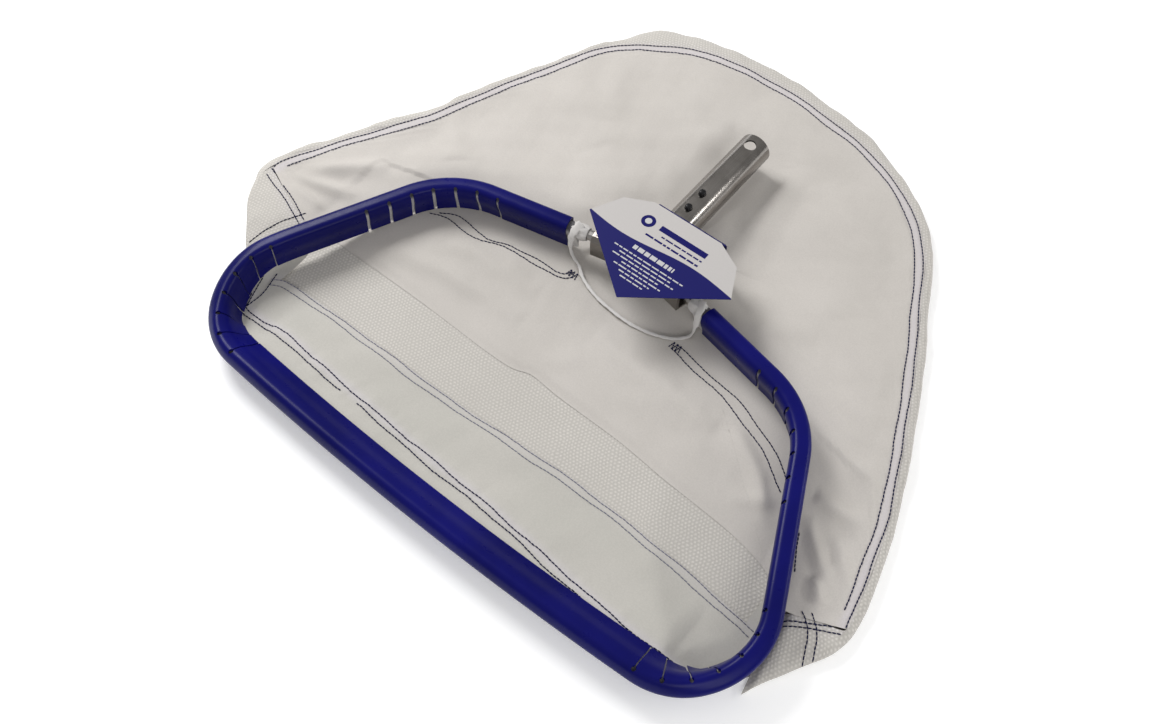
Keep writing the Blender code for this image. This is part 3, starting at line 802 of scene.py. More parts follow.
def panel_height(x, y):
    """Height of the upper panel: slack between its seam and the frame, flat under the metal."""
    to_rail, _ = line_distance(x, y, rail_sketch)
    to_seam, _ = line_distance(x, y, seam_sketch)
    slack = smooth((to_rail - 0.010) / 0.035)
    inside = ((np.abs(x) < 0.26) & (y < 0.02 - 0.2155 * np.abs(x))).astype(float)
    under_handle = smooth(1 - np.maximum(np.abs(x) - 0.02, np.abs(y - 0.08) - 0.10) / 0.03)
    waves = slow_waves(x, y, 5, 0.24, 0.05, 9)
    height = PANEL_HEIGHT + slack * (0.0034 * waves * (1 - 0.35 * inside) + 0.0018 * (1 - inside))
    for line, width, rise in SOFT_FOLDS:
        d, share = line_distance(x, y, curve_through(line, 0.02))
        ends = np.clip(4 * share * (1 - share), 0, 1) ** 0.6
        away = np.clip((to_rail - 0.006) / 0.014, 0.15, 1)
        height += 1.35 * rise * np.exp(-(d / width) ** 2) * ends * away
    crease = slow_waves(x, y, 23, 0.045, 0.014, 7)
    height += 0.00040 * slack * crease
    to_fold, _ = line_distance(x, y, FOLD_LINE)
    low = smooth(1 - to_fold / 0.045) * smooth((0.252 - np.abs(x)) / 0.022)
    height = height * (1 - low) + (0.0054 + 0.0006 * waves) * low
    to_left, _ = line_distance(x, y, LEFT_CORNER_SEAM)
    to_right, _ = line_distance(x, y, RIGHT_CORNER_SEAM)
    to_corner = np.minimum(to_left, to_right)
    rim = np.maximum(smooth(1 - to_seam / 0.032), smooth(1 - to_corner / 0.020))
    height = height * (1 - rim) + (SEAM_HEIGHT + 0.0003 * crease) * rim
    pucker = np.sin(x * 900 + 4 * np.sin(y * 60)) * np.sin(y * 830)
    height += 0.00045 * pucker * smooth(1 - np.abs(to_seam - 0.011) / 0.010)
    keyhole = smooth(1 - (np.hypot((x - 0.004) / 0.062, (y + 0.002) / 0.031) - 0.92) / 0.08)
    height = height - 0.0030 * keyhole
    height = height * (1 - under_handle) + np.minimum(height, 0.0096) * under_handle
    return np.maximum(height, 0.0040)


def resampled(line, count, closed=False):
    """The line as evenly spaced points."""
    points = np.array([tuple(p)[:2] for p in line] + ([tuple(line[0])[:2]] if closed else []))
    steps = np.concatenate([[0], np.cumsum(np.hypot(*np.diff(points, axis=0).T))])
    marks = np.linspace(0, steps[-1], count + 1)
    return np.stack([np.interp(marks, steps, points[:, i]) for i in (0, 1)], 1)


def disc_sheet(outline, centre, around, rings, crowd=0.75):
    """A round grid drawn out from a centre to an outline, with its x, y, share of the way out and turn."""
    edge = resampled(outline, around, closed=True)
    bm = bmesh.new()
    bmesh.ops.create_grid(bm, x_segments=around, y_segments=rings, size=0.5)
    bm.verts.ensure_lookup_table()
    u = np.array([v.co.x + 0.5 for v in bm.verts])
    v = np.array([v.co.y + 0.5 for v in bm.verts])
    share = 1 - (1 - v) ** (1 / crowd)
    i = np.rint(u * around).astype(int)
    x = centre[0] + (edge[i, 0] - centre[0]) * share
    y = centre[1] + (edge[i, 1] - centre[1]) * share
    return bm, x, y, share, u


def set_heights(bm, x, y, z):
    for vertex, a, b, c in zip(bm.verts, x, y, z):
        vertex.co = (a, b, c)


def paint(bm, name, values):
    """Writes one number a vertex, for the material to read."""
    layer = bm.verts.layers.float.new(name)
    for vertex, value in zip(bm.verts, values):
        vertex[layer] = float(value)


dome_line = curve_through(DOME_SEAM, 0.004)
right_line = curve_through(RIGHT_CORNER_SEAM, 0.004)
fold_line = curve_through(FOLD_LINE, 0.004)
left_line = curve_through(LEFT_CORNER_SEAM, 0.004)
upper_outline = dome_line + right_line[1:] + fold_line + left_line[:-1]
bm, x, y, share, turn = disc_sheet(upper_outline, (0.0, 0.055), 520, 92)
z = panel_height(x, y)
to_fold, _ = line_distance(x, y, [tuple(p) for p in fold_line[::4]])
roll = smooth(1 - to_fold / 0.0090) * smooth((0.252 - np.abs(x)) / 0.022)
z = z - roll * np.maximum(z - 0.0040, 0) * 0.9
to_seam, _ = line_distance(x, y, seam_sketch)
set_heights(bm, x, y, z)
paint(bm, "seam", smooth(1 - np.abs(to_seam - 0.0045) / 0.006))
bmesh.ops.remove_doubles(bm, verts=bm.verts, dist=0.00001)
bmesh.ops.recalc_face_normals(bm, faces=bm.faces)
upper_panel = make_object("upper_net_panel", bm, fine_mesh, 180.0)
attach(upper_panel, "rake")
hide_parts("net_upper_panel")


# ---------------------------------------------------------------- Drag panel
# The bag's bottom: one piece of coarse honeycomb mesh that lies on the floor. Only the stretch
# between the front strip and the rolled edge of the upper panel shows inside the mouth.
SECOND_ROW = [
    (-0.244, -0.184), (-0.228, -0.178), (-0.183, -0.176), (-0.110, -0.1755), (-0.040, -0.175),
    (0.014, -0.172), (0.081, -0.169), (0.153, -0.172), (0.200, -0.175), (0.244, -0.180),
]
BOTTOM_OUTLINE = [
    (-0.318, -0.104), (-0.300, -0.060), (-0.262, 0.012), (-0.226, 0.100), (-0.188, 0.196), (-0.148, 0.246),
    (-0.085, 0.266), (-0.020, 0.266), (0.060, 0.256), (0.112, 0.234), (0.150, 0.206), (0.178, 0.166),
    (0.212, 0.090), (0.238, 0.024), (0.266, -0.052), (0.285, -0.130), (0.272, -0.182), (0.250, -0.222),
    (0.225, -0.240), (0.110, -0.248), (0.0, -0.249), (-0.110, -0.247), (-0.225, -0.238), (-0.262, -0.206),
    (-0.292, -0.150),
]


def bottom_height(x, y):
    in_mouth = smooth(1 - np.abs(y + 0.142) / 0.075) * smooth(1 - (np.abs(x) - 0.19) / 0.06)
    waves = slow_waves(x, y, 41, 0.16, 0.035, 8)
    cross = slow_waves(x * 1.6, y * 0.5, 43, 0.06, 0.02, 5)
    height = np.maximum(0.0009 + in_mouth * (0.0021 + 0.0005 * waves + 0.0002 * cross), 0.0003)
    to_fold, _ = line_distance(x, y, FOLD_LINE)
    meet = smooth(1 - to_fold / 0.022)
    return height * (1 - meet) + 0.0037 * meet


ring = curve_through(BOTTOM_OUTLINE + BOTTOM_OUTLINE[:1], 0.006)[:-1]
bm, x, y, share, turn = disc_sheet(ring, (0.0, 0.0), 380, 72)
set_heights(bm, x, y, bottom_height(x, y))
paint(bm, "seam", np.zeros(x.shape))
bmesh.ops.remove_doubles(bm, verts=bm.verts, dist=0.00001)
bmesh.ops.recalc_face_normals(bm, faces=bm.faces)
drag_panel = make_object("drag_panel", bm, coarse_mesh, 180.0)
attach(drag_panel, "rake")
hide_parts("net_drag_panel")


# ---------------------------------------------------------------- Side gusset
# A long band of coarse mesh that joins the two panels round the dome. It bulges past the seam,
# most at the back, and tucks under the bag to the floor.
RIM_LINE = [
    (-0.258, -0.196), (-0.283, -0.178), (-0.304, -0.157), (-0.322, -0.138), (-0.338, -0.106),
    (-0.333, -0.084), (-0.318, -0.052),
    (-0.296, -0.008), (-0.280, 0.022), (-0.265, 0.050), (-0.244, 0.106), (-0.219, 0.163), (-0.200, 0.207),
    (-0.181, 0.240), (-0.160, 0.262), (-0.112, 0.279), (-0.050, 0.284), (0.000, 0.281), (0.062, 0.270),
    (0.110, 0.247), (0.149, 0.219), (0.174, 0.190), (0.191, 0.158), (0.209, 0.121), (0.227, 0.085),
    (0.247, 0.040), (0.265, -0.006), (0.282, -0.052), (0.293, -0.095), (0.300, -0.132), (0.297, -0.158),
    (0.283, -0.184), (0.262, -0.223),
]
GUSSET_TOP = [*LEFT_CORNER_SEAM[:3], *DOME_SEAM, *RIGHT_CORNER_SEAM[1:]]
GUSSET_REACH = ([0, 0.3, 0.6, 0.75, 1.0], [0.0, 0.62, 1.0, 0.92, -0.35])
GUSSET_FALL = (
    [0, 0.15, 0.3, 0.45, 0.6, 0.75, 0.87, 1.0],
    [0.0117, 0.0121, 0.0112, 0.0090, 0.0058, 0.0022, 0.0009, 0.0007],
)
gusset_count = 460
top = resampled(curve_through(GUSSET_TOP, 0.004), gusset_count)
rim = resampled(curve_through(RIM_LINE, 0.004), gusset_count)
bm = bmesh.new()
bmesh.ops.create_grid(bm, x_segments=gusset_count, y_segments=14, size=0.5)
bm.verts.ensure_lookup_table()
u = np.array([v.co.x + 0.5 for v in bm.verts])
v = np.array([v.co.y + 0.5 for v in bm.verts])
i = np.rint(u * gusset_count).astype(int)
across = np.interp(v, *GUSSET_REACH)
x = top[i, 0] + (rim[i, 0] - top[i, 0]) * across
y = top[i, 1] + (rim[i, 1] - top[i, 1]) * across
z = np.interp(v, *GUSSET_FALL)
puff = slow_waves(x, y, 61, 0.07, 0.018, 8)
ruck = slow_waves(u * 1.4, v * 0.02, 67, 0.05, 0.012, 6)
bulge = np.sin(np.clip(v / 0.75, 0, 1) * math.pi)
z = z + (0.0011 * puff + 0.0007 * ruck) * bulge
z = z * (0.30 + 0.70 * smooth(np.minimum(u, 1 - u) / 0.008))
z = np.maximum(z, 0.0006)
pull = 1 + 0.05 * puff * bulge
x = top[i, 0] + (x - top[i, 0]) * pull
y = top[i, 1] + (y - top[i, 1]) * pull
set_heights(bm, x, y, z)
paint(bm, "seam", smooth(1 - v / 0.12) * 0.7)
bmesh.ops.recalc_face_normals(bm, faces=bm.faces)
gusset = make_object("side_gusset", bm, coarse_mesh, 180.0)
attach(gusset, "rake")
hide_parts("net_gusset")


# ---------------------------------------------------------------- Front strip
# Fine mesh held in the front lips of the edge strip. Its hem is stitched close to the plastic, and
# it drops to the drag panel, where a second double row joins the two.
FRONT_HEM = [
    (-0.245, -0.205), (-0.239, -0.217), (-0.222, -0.2185), (-0.185, -0.217), (-0.155, -0.2200),
    (-0.126, -0.221), (-0.080, -0.2235), (-0.034, -0.226), (0.010, -0.2275), (0.049, -0.229),
    (0.110, -0.234), (0.150, -0.2365), (0.186, -0.238), (0.224, -0.2365),
]
FRONT_REACH = 0.345
start, stop = ROUND / 2 - FRONT_REACH, ROUND / 2 + FRONT_REACH
far_edge = resampled(curve_through(list(reversed(SECOND_ROW)), 0.004), 1000)
FRONT_COUNT = 300
bm = bmesh.new()
bmesh.ops.create_grid(bm, x_segments=FRONT_COUNT, y_segments=30, size=0.5)
bm.verts.ensure_lookup_table()
front_rows = []
for i in range(FRONT_COUNT + 1):
    share = i / FRONT_COUNT
    centre, lip, face, ahead = frame_at(start + (stop - start) * share)
    held, free = centre + lip * 0.014, centre + lip * 0.0245
    spread = (free.x / 0.2445 * -0.5 + 0.5)
    far = far_edge[min(max(round(spread * 1000), 0), 1000)]
    front_rows.append((held, free, lip, Vector((far[0], far[1], 0.0036))))
for vertex in bm.verts:
    held, free, lip, far = front_rows[round((vertex.co.x + 0.5) * FRONT_COUNT)]
    t = vertex.co.y + 0.5
    if t < 0.1:
        point = held.lerp(free, t / 0.1)
    else:
        s = (t - 0.1) / 0.9
        reach = (far - free).length
        control = free + lip * min(0.010, reach * 0.3)
        control.z = max(control.z, 0.0045)
        point = free * (1 - s) ** 2 + control * 2 * s * (1 - s) + far * s * s
    vertex.co = point
x = np.array([v.co.x for v in bm.verts])
y = np.array([v.co.y for v in bm.verts])
z = np.array([v.co.z for v in bm.verts])
hem_sketch = [tuple(p) for p in curve_through(FRONT_HEM, 0.01)]
row_sketch = [tuple(p) for p in curve_through(SECOND_ROW, 0.01)]
to_hem, _ = line_distance(x, y, hem_sketch)
to_row, _ = line_distance(x, y, row_sketch)
to_rail, _ = line_distance(x, y, rail_sketch)
free = smooth((to_rail - 0.020) / 0.012)
waves = slow_waves(x, y, 71, 0.11, 0.025, 8)
ruck = slow_waves(x * 1.5, y * 0.4, 73, 0.035, 0.010, 6)
z += free * (0.0013 * waves * smooth(to_row / 0.012) + 0.0006 * ruck * np.exp(-(to_hem / 0.014) ** 2))
z += free * 0.0011 * np.exp(-(to_hem / 0.006) ** 2)
z = np.maximum(z, 0.0034)
set_heights(bm, x, y, z)
paint(bm, "seam", np.exp(-(to_hem / 0.0042) ** 2) + 0.5 * np.exp(-(to_row / 0.005) ** 2))
bmesh.ops.recalc_face_normals(bm, faces=bm.faces)
front_strip = make_object("front_strip", bm, strip_mesh, 180.0)
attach(front_strip, "rake")
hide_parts("net_front_strip")


# ---------------------------------------------------------------- Rod hem
# White cloth wrapped round the rod, with its two plies held between the lips of the edge strip.
# It shows in the slits and runs on past the strip's cut ends in a gathered cuff.
HEM_INNER = 0.0053
HEM_OUTER = 0.0058
HEM_END = 0.059 * 1.0231
hem_wall = []
for radius, half in ((HEM_OUTER, 0.00040), (HEM_INNER, 0.00010)):
    arc = [math.radians(a) for a in range(0, 121, 12)]
    side = [(-radius * math.cos(a), radius * math.sin(a)) for a in arc]
    shrink = 0.0 if radius == HEM_OUTER else 0.0004
    side += [(0.0073, 0.0042 - shrink), (0.0115, 0.0028 - shrink), (0.0160, 0.0016 - shrink), (0.0224, half)]
    hem_wall.append([(k, -h) for k, h in reversed(side)] + side[1:])
hem_outline = hem_wall[0] + list(reversed(hem_wall[1]))
# The nose side of the hem, round the rod, is painted near black. This is painted shade for the dark hollow
# inside the strip that shows through the keyholes.
hem_painted_shade = [blend((0.0015 - k) / 0.0045) for k, h in hem_outline]
bm = bmesh.new()
rings = []
distance = HEM_END
while distance < ROUND - HEM_END:
    rings.append(strip_ring(distance, (0.0, 0.0), hem_outline))
    distance += 0.006
sweep(bm, rings)
paint(bm, "seam", [0.0] * len(bm.verts))
paint(bm, "painted_shade", [share for _ in rings for share in hem_painted_shade])
rod_hem = make_object("rod_hem", bm, hem_cloth, 50.0)
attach(rod_hem, "rake")
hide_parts("hem_sleeve")


# ---------------------------------------------------------------- Keyhole binding
# A folded white tape that finishes the cut-out for the crossbar. Each end is gathered up round
# the rod beside the plastic strip and stitched to itself.
def tape(bm, line, width, thick, lift):
    """A flat soft tape with rounded edges along a line of 3-D points; lift gives its up direction."""
    rings = []
    for i, point in enumerate(line):
        ahead = (line[min(i + 1, len(line) - 1)] - line[max(i - 1, 0)]).normalized()
        up = lift(i / (len(line) - 1), ahead)
        up = (up - ahead * up.dot(ahead)).normalized()
        side = ahead.cross(up)
        ruck = 1 + 0.16 * math.sin(i * 1.9) + 0.10 * math.sin(i * 0.83 + 1.0)
        ring = []
        for j in range(12):
            angle = 2 * math.pi * j / 12
            full = 1.0 + 1.5 * blend(abs(i / (len(line) - 1) - 0.5) / 0.12 - 2.9)
            a = math.copysign(abs(math.cos(angle)) ** 0.7, math.cos(angle)) * width / 2 * ruck * full
            b = math.copysign(abs(math.sin(angle)) ** 0.8, math.sin(angle)) * thick / 2
            ring.append(point + side * a + up * b)
        rings.append(ring)
    sweep(bm, rings)


bm = bmesh.new()
LEFT_TAIL = [
    (-0.0605, 0.0030, 0.0405), (-0.0630, -0.0065, 0.0355), (-0.0620, -0.0110, 0.0240),
    (-0.0575, -0.0125, 0.0145),
]
RIGHT_TAIL = [
    (0.0655, -0.0125, 0.0145), (0.0665, -0.0110, 0.0240), (0.0655, -0.0065, 0.0355),
    (0.0620, 0.0030, 0.0405),
]
TAPE_HEIGHT = 0.0092
arc = [(a, b, TAPE_HEIGHT) for a, b in KEYHOLE_EDGE[1:-1]]
binding_line = curve_through(LEFT_TAIL + arc + RIGHT_TAIL, 0.0022)


def binding_up(share, ahead):
    outward = Vector((0.0, -1.0, 0.35))
    flat = blend((0.5 - abs(share - 0.5)) / 0.16)
    return Vector((0, 0, 1)) * flat + outward * (1 - flat)


tape(bm, binding_line, 0.0029, 0.0013, binding_up)
paint(bm, "seam", [0.0] * len(bm.verts))
binding = make_object("keyhole_binding", bm, hem_cloth, 60.0)
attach(binding, "rake")
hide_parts("net_bound_edge")

for side, name in ((-1, "left"), (1, "right")):
    bm = bmesh.new()
    rings = []
    for i in range(15):
        share = i / 14
        distance = (0.0535 + 0.0175 * share) * 1.0231
        centre, lip, face, ahead = frame_at(distance if side > 0 else ROUND - distance)
        swell = math.sin(math.pi * min(share * 1.25, 1.0)) ** 0.7
        ring = []
        for j in range(36):
            angle = 2 * math.pi * j / 36
            pleat = 0.00035 * math.sin(5 * angle + 3.0 * share + side)
            pleat += 0.0002 * math.sin(11 * angle - 4.0 * share)
            radius = 0.0056 + 0.0010 * swell + pleat * (0.3 + swell)
            drop = 0.0030 * swell * max(0.0, math.cos(angle)) ** 3
            ring.append(centre + lip * (radius + drop) * math.cos(angle) + face * radius * math.sin(angle))
        rings.append(ring)
    sweep(bm, rings, capped=False)
    bmesh.ops.solidify(bm, geom=bm.faces, thickness=0.0004)
    bmesh.ops.recalc_face_normals(bm, faces=bm.faces)
    paint(bm, "seam", [0.0] * len(bm.verts))
    cuff = make_object(f"hem_cuff_{name}", bm, hem_cloth, 60.0)
    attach(cuff, "rake")


# ---------------------------------------------------------------- Stitching
# Navy lockstitch in double rows: round the dome seam, along the back hem and the front hem, and
# over both outer corners. The row that joins front strip and drag panel shows paler through mesh.
def surface_tree(piece):
    """The piece as a tree of faces that a ray can be sent against."""
    faces = [p.vertices for p in piece.data.polygons]
    return BVHTree.FromPolygons([v.co for v in piece.data.vertices], faces)


upper_tree = surface_tree(upper_panel)
front_tree = surface_tree(front_strip)
gusset_tree = surface_tree(gusset)
drag_tree = surface_tree(drag_panel)


def lie_on(point, trees, lift):
    """The point dropped on to the highest cloth below it, with the cloth's normal."""
    found = None
    for cloth_tree in trees:
        place, normal, _, _ = cloth_tree.ray_cast(Vector((point[0], point[1], 0.06)), Vector((0, 0, -1)))
        if place is not None and (found is None or place.z > found[0].z):
            found = (place, normal if normal.z > 0 else -normal)
    if found is None:
        return None
    return found[0] + found[1] * lift, found[1]


def offset_line(line, gap):
    """The flat line moved sideways by a gap, to its left."""
    moved = []
    for i, point in enumerate(line):
        ahead = (line[min(i + 1, len(line) - 1)] - line[max(i - 1, 0)]).normalized()
        moved.append(Vector((point.x - ahead.y * gap, point.y + ahead.x * gap)))
    return moved


def join_batch(bm, batch):
    """Adds a batch of stitches to the piece, and hands back an empty batch."""
    mesh = bpy.data.meshes.new("batch")
    batch.to_mesh(mesh)
    batch.free()
    bm.from_mesh(mesh)
    bpy.data.meshes.remove(mesh)
    return bmesh.new()


def stitch_row(bm, line, trees, pitch=0.0034, thread=0.00056, waver=0.0004, seed=1, skip=()):
    """Lays small rounded stitches end to end along a flat line over the cloth."""
    points = resampled(line, max(2, round(sum((b - a).length for a, b in zip(line, line[1:])) / pitch)))
    rng = random.Random(seed)
    batch = bmesh.new()
    for i, (a, b) in enumerate(zip(points, points[1:])):
        share = i / len(points)
        if any(low < share < high for low, high in skip):
            continue
        drift = math.sin(i * 0.37 + seed) + 0.7 * math.sin(i * 0.151 + 2.3 * seed)
        sway = waver * (drift + rng.uniform(-0.3, 0.3))
        side = Vector((-(b - a)[1], (b - a)[0])).normalized() * sway
        first = lie_on(Vector(a) + side, trees, thread * 0.6)
        last = lie_on(Vector(b) + side, trees, thread * 0.6)
        if first is None or last is None or abs(first[0].z - last[0].z) > 0.004:
            continue
        span = last[0] - first[0]
        turn = span.to_track_quat("X", "Z").to_matrix().to_4x4()
        size = Matrix.Diagonal((span.length * 0.51, thread, thread * 0.8, 1.0))
        place = Matrix.Translation((first[0] + last[0]) / 2) @ turn @ size
        lying = place @ Matrix.Rotation(math.pi / 2, 4, "Y")
        bmesh.ops.create_uvsphere(batch, u_segments=6, v_segments=4, radius=1.0, matrix=lying)
        if len(batch.verts) > 600:
            batch = join_batch(bm, batch)
    join_batch(bm, batch).free()


thread_material, tree, shader, place = new_material("navy_thread", (0.010, 0.012, 0.055), 0.8)
shader.inputs["Specular IOR Level"].default_value = 0.1
twist = noise_node(tree, place, 1600.0, 2.0)
tint(tree, shader, twist, (0.005, 0.006, 0.026), (0.014, 0.017, 0.070))
bump(tree, shader, twist, 0.4, 0.0001)
pale_thread, tree, shader, place = new_material("thread_under_mesh", (0.16, 0.16, 0.22), 0.7)
twist = noise_node(tree, place, 1600.0, 2.0)
tint(tree, shader, twist, (0.13, 0.13, 0.18), (0.21, 0.21, 0.27))
bump(tree, shader, twist, 0.4, 0.0001)

bm = bmesh.new()
bag_trees = [upper_tree, gusset_tree]
outer_row = offset_line(dome_line, -0.0015)
inner_row = offset_line(dome_line, -0.0080)
stitch_row(bm, outer_row, bag_trees, seed=1)
stitch_row(bm, inner_row[3:-3], bag_trees, seed=2)
CORNER_ROWS = [
    [(-0.326, -0.105), (-0.295, -0.115), (-0.262, -0.127)],
    [(-0.324, -0.112), (-0.294, -0.121), (-0.260, -0.133)],
    [(-0.284, -0.172), (-0.279, -0.155), (-0.270, -0.130), (-0.266, -0.121)],
    [(0.294, -0.141), (0.277, -0.150), (0.256, -0.164)],
    [(0.293, -0.147), (0.276, -0.156), (0.256, -0.170)],
    [(0.262, -0.150), (0.274, -0.160), (0.284, -0.181)],
    [(0.268, -0.147), (0.280, -0.157), (0.288, -0.174)],
    [(0.228, -0.099), (0.242, -0.127)],
]
for seed, line in enumerate(CORNER_ROWS, 3):
    stitch_row(bm, curve_through(line, 0.003), bag_trees, seed=seed, waver=0.0005)
dome_stitching = make_object("dome_stitching", bm, thread_material, 180.0)
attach(dome_stitching, "rake")

bm = bmesh.new()
BACK_HEM_ROWS = [
    [(-0.180, -0.046), (-0.165, -0.039), (-0.146, -0.041), (-0.127, -0.041), (-0.112, -0.035),
     (-0.098, -0.034), (-0.078, -0.030), (-0.057, -0.029), (-0.050, -0.022)],
    [(-0.186, -0.052), (-0.171, -0.047), (-0.152, -0.048), (-0.135, -0.046), (-0.116, -0.040),
     (-0.098, -0.038), (-0.076, -0.036), (-0.054, -0.034), (-0.046, -0.026)],
    [(0.060, -0.024), (0.086, -0.029), (0.108, -0.033), (0.131, -0.038), (0.152, -0.045),
     (0.172, -0.053), (0.199, -0.070)],
    [(0.058, -0.031), (0.084, -0.036), (0.108, -0.040), (0.130, -0.046), (0.150, -0.053),
     (0.170, -0.062), (0.199, -0.081)],
]
for seed, line in enumerate(BACK_HEM_ROWS, 11):
    stitch_row(bm, curve_through(line, 0.003), [upper_tree], seed=seed, waver=0.0007)
for x0, y0 in ((-0.049, -0.024), (0.061, -0.027)):
    zigzag = [(x0 + 0.0016 * (i - 3), y0 + (0.0035 if i % 2 else -0.0035)) for i in range(7)]
    stitch_row(bm, [Vector(p) for p in zigzag], [upper_tree], pitch=0.0024, seed=15, waver=0.0)
HEM_ROW_GAP = -0.0058
BROKEN_THREAD = (0.285, 0.325)
front_hem_line = curve_through(FRONT_HEM, 0.003)
stitch_row(bm, front_hem_line, [front_tree], seed=21, waver=0.0006)
lower_hem_line = offset_line(front_hem_line, HEM_ROW_GAP)
stitch_row(bm, lower_hem_line, [front_tree], seed=22, waver=0.0006, skip=(BROKEN_THREAD,))
FRONT_CORNER_ROWS = [
    [(-0.250, -0.186), (-0.239, -0.217)],
    [(-0.243, -0.178), (-0.238, -0.200), (-0.239, -0.217)],
]
for seed, line in enumerate(FRONT_CORNER_ROWS, 23):
    stitch_row(bm, curve_through(line, 0.003), [front_tree, drag_tree], seed=seed, waver=0.0003)
hem_stitching = make_object("hem_stitching", bm, thread_material, 180.0)
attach(hem_stitching, "rake")

bm = bmesh.new()
second_line = curve_through(SECOND_ROW, 0.003)
for seed, gap in ((31, -0.0012), (32, -0.0070)):
    row = offset_line(second_line, gap)
    stitch_row(bm, row, [front_tree, drag_tree], seed=seed, thread=0.00046, waver=0.0005)
second_stitching = make_object("second_stitching", bm, pale_thread, 180.0)
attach(second_stitching, "rake")


# ---------------------------------------------------------------- Display card
# A printed card of cut-gem outline folded over the handle. The print is a plain disc, bars in
# place of words and a navy lower field; the back flap drops behind and the tube passes through it.
CARD = 0.0006
CARD_SHIFT = 0.011
card_low, card_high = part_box("hang_card")
card_top = card_high.y - CARD
CARD_CORNERS = [(0.0335, 0.0), (0.0570, 0.012), (0.0710, 0.040), (0.0, 0.095)]
half_gem = [(a, card_top - down) for a, down in CARD_CORNERS]
gem = [(a + CARD_SHIFT, b) for a, b in [*half_gem, *[(-a, b) for a, b in reversed(half_gem[:-1])]]]
front_z = card_high.z - CARD
bm = bmesh.new()
face = bm.faces.new([bm.verts.new((a, b, front_z)) for a, b in gem])
made = bmesh.ops.extrude_face_region(bm, geom=[face])["geom"]
bmesh.ops.translate(bm, verts=corners_of(made), vec=(0, 0, CARD))
bmesh.ops.recalc_face_normals(bm, faces=bm.faces)
card_material, tree, shader, place = new_material("printed_card", (0.80, 0.79, 0.76), 0.5)
shader.inputs["Specular IOR Level"].default_value = 0.2
parts = tree.nodes.new("ShaderNodeSeparateXYZ")
tree.links.new(place, parts.inputs[0])
sway = math_node(tree, "SINE", math_node(tree, "MULTIPLY_ADD", parts.outputs["X"], 46.0, -0.36))
sway = math_node(tree, "MULTIPLY", sway, 0.0034)
level = math_node(tree, "SUBTRACT", math_node(tree, "SUBTRACT", parts.outputs["Y"], sway), card_top - 0.0385)
field = span_node(tree, level, 0.0001, -0.0001)
speck = noise_node(tree, place, 1400.0, 2.0)
paper = mix_colour(tree, speck, (0.450, 0.430, 0.418), (0.495, 0.475, 0.462))
ink = mix_colour(tree, speck, (0.0030, 0.0032, 0.085), (0.0045, 0.0048, 0.110))
tint(tree, shader, field, paper, ink)
bump(tree, shader, speck, 0.05, 0.0001)
card = make_object("display_card", bm, card_material, 30.0)

print_navy, tree, shader, place = new_material("card_ink_navy", (0.010, 0.012, 0.130), 0.5)
shader.inputs["Specular IOR Level"].default_value = 0.15
speck = noise_node(tree, place, 900.0)
tint(tree, shader, speck, (0.003, 0.003, 0.080), (0.005, 0.005, 0.110))
print_white, tree, shader, place = new_material("card_ink_white", (0.72, 0.72, 0.72), 0.5)
speck = noise_node(tree, place, 900.0)
tint(tree, shader, speck, (0.44, 0.44, 0.45), (0.50, 0.50, 0.50))

FLAP_HALF = 0.0335
FLAP_FLARE = 0.0042
FLAP_LEFT = CARD_SHIFT * 1.3 - FLAP_HALF
slope = [
    (0.0, front_z + CARD / 2), (0.0022, front_z - 0.0010),
    (FLAP_FLARE, front_z - 0.0050), (FLAP_FLARE, card_low.z),
]
bm = bmesh.new()
line = [bm.verts.new((FLAP_LEFT, card_top + out, z)) for out, z in slope]
edges = [bm.edges.new(pair) for pair in zip(line, line[1:])]
made = bmesh.ops.extrude_edge_only(bm, edges=edges)["geom"]
bmesh.ops.translate(bm, verts=corners_of(made), vec=(2 * FLAP_HALF, 0, 0))
bmesh.ops.solidify(bm, geom=bm.faces, thickness=CARD)
bmesh.ops.recalc_face_normals(bm, faces=bm.faces)
flap = make_object("display_card_flap", bm, print_navy, 30.0)
punch_radius = TUBE_OUTER + 0.0006
bm = bmesh.new()
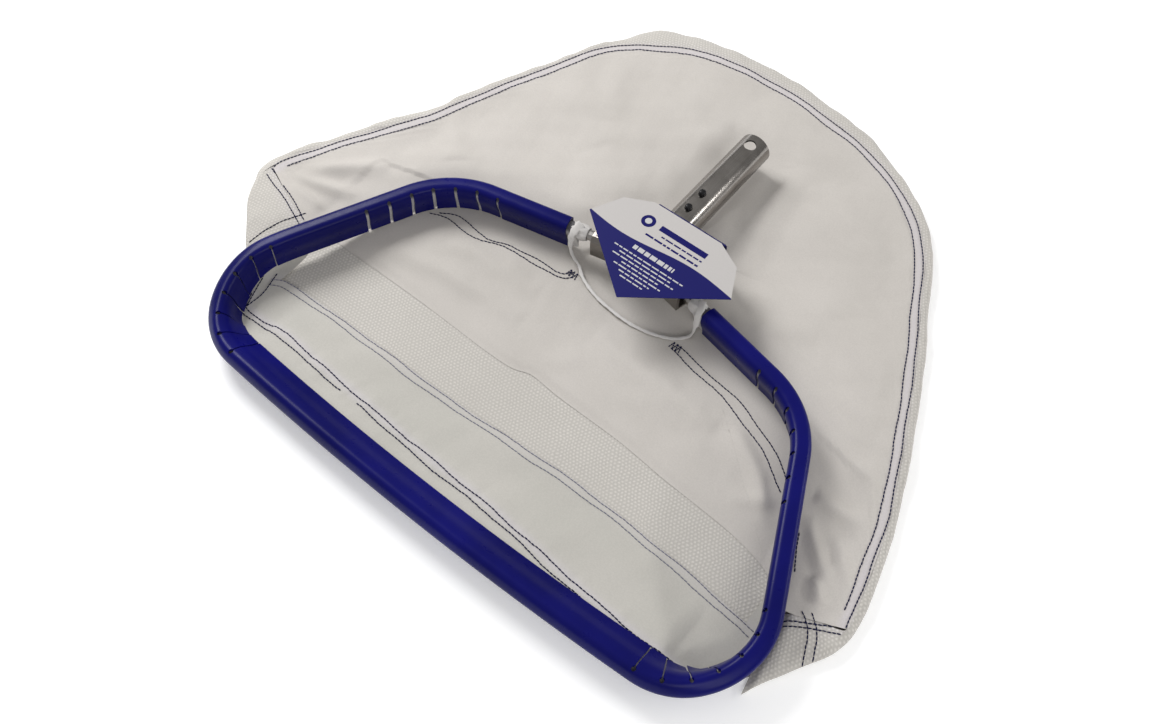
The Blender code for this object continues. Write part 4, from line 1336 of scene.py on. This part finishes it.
bmesh.ops.create_cone(
    bm, cap_ends=True, segments=64, radius1=punch_radius, radius2=punch_radius, depth=0.02,
    matrix=Matrix.Translation((0, card_top + FLAP_FLARE, RAIL_HEIGHT)) @ Matrix.Rotation(math.pi / 2, 4, "X"),
)
carve(flap, make_object("flap_punch", bm, card_material))
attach(card, "rake")
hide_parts("hang_card")
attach(flap, "rake")


INK = 0.00012
INK_LIFT = 0.00003
DISC_CENTRE = (-0.026 + CARD_SHIFT, card_top - 0.0190)


def printed_bar(bm, centre, length, height):
    """A thin inked rectangle on the card's front."""
    place = Matrix.Translation((centre[0] + CARD_SHIFT, centre[1], card_high.z + INK_LIFT))
    bmesh.ops.create_cube(bm, size=1.0, matrix=place @ Matrix.Diagonal((length, height, INK, 1)))


def printed_disc(bm, radius, lift):
    """A thin inked disc on the card's front."""
    place = Matrix.Translation((*DISC_CENTRE, card_high.z + lift))
    bmesh.ops.create_cone(
        bm, cap_ends=True, segments=40, radius1=radius, radius2=radius, depth=INK, matrix=place,
    )


def broken_line(bm, centre, length, height, seed):
    """A row of short bars that stands for a line of small print."""
    rng = random.Random(seed)
    x = -length / 2
    while x < length / 2:
        dash = min(rng.uniform(0.0025, 0.0080), length / 2 - x)
        if dash > 0.0008:
            printed_bar(bm, (centre[0] + x + dash / 2, centre[1]), dash, height)
        x += dash + 0.0011


bm = bmesh.new()
printed_bar(bm, (0.009, card_top - 0.0185), 0.046, 0.0056)
broken_line(bm, (0.012, card_top - 0.0255), 0.040, 0.0014, 1)
broken_line(bm, (0.006, card_top - 0.0310), 0.052, 0.0018, 2)
printed_disc(bm, 0.0062, INK_LIFT)
printed_disc(bm, 0.0034, 3 * INK_LIFT)
dark_print = make_object("card_print_dark", bm, print_navy, 30.0)
bm = bmesh.new()
printed_disc(bm, 0.0030, 0.00016)
broken_line(bm, (0.0, card_top - 0.0470), 0.040, 0.0042, 3)
for row, length in enumerate((0.068, 0.052, 0.060, 0.036, 0.046, 0.030, 0.022)):
    broken_line(bm, (0.0, card_top - 0.0540 - row * 0.0038), length, 0.0012, 4 + row)
light_print = make_object("card_print_light", bm, print_white, 30.0)
for printed in (dark_print, light_print):
    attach(printed, "rake")
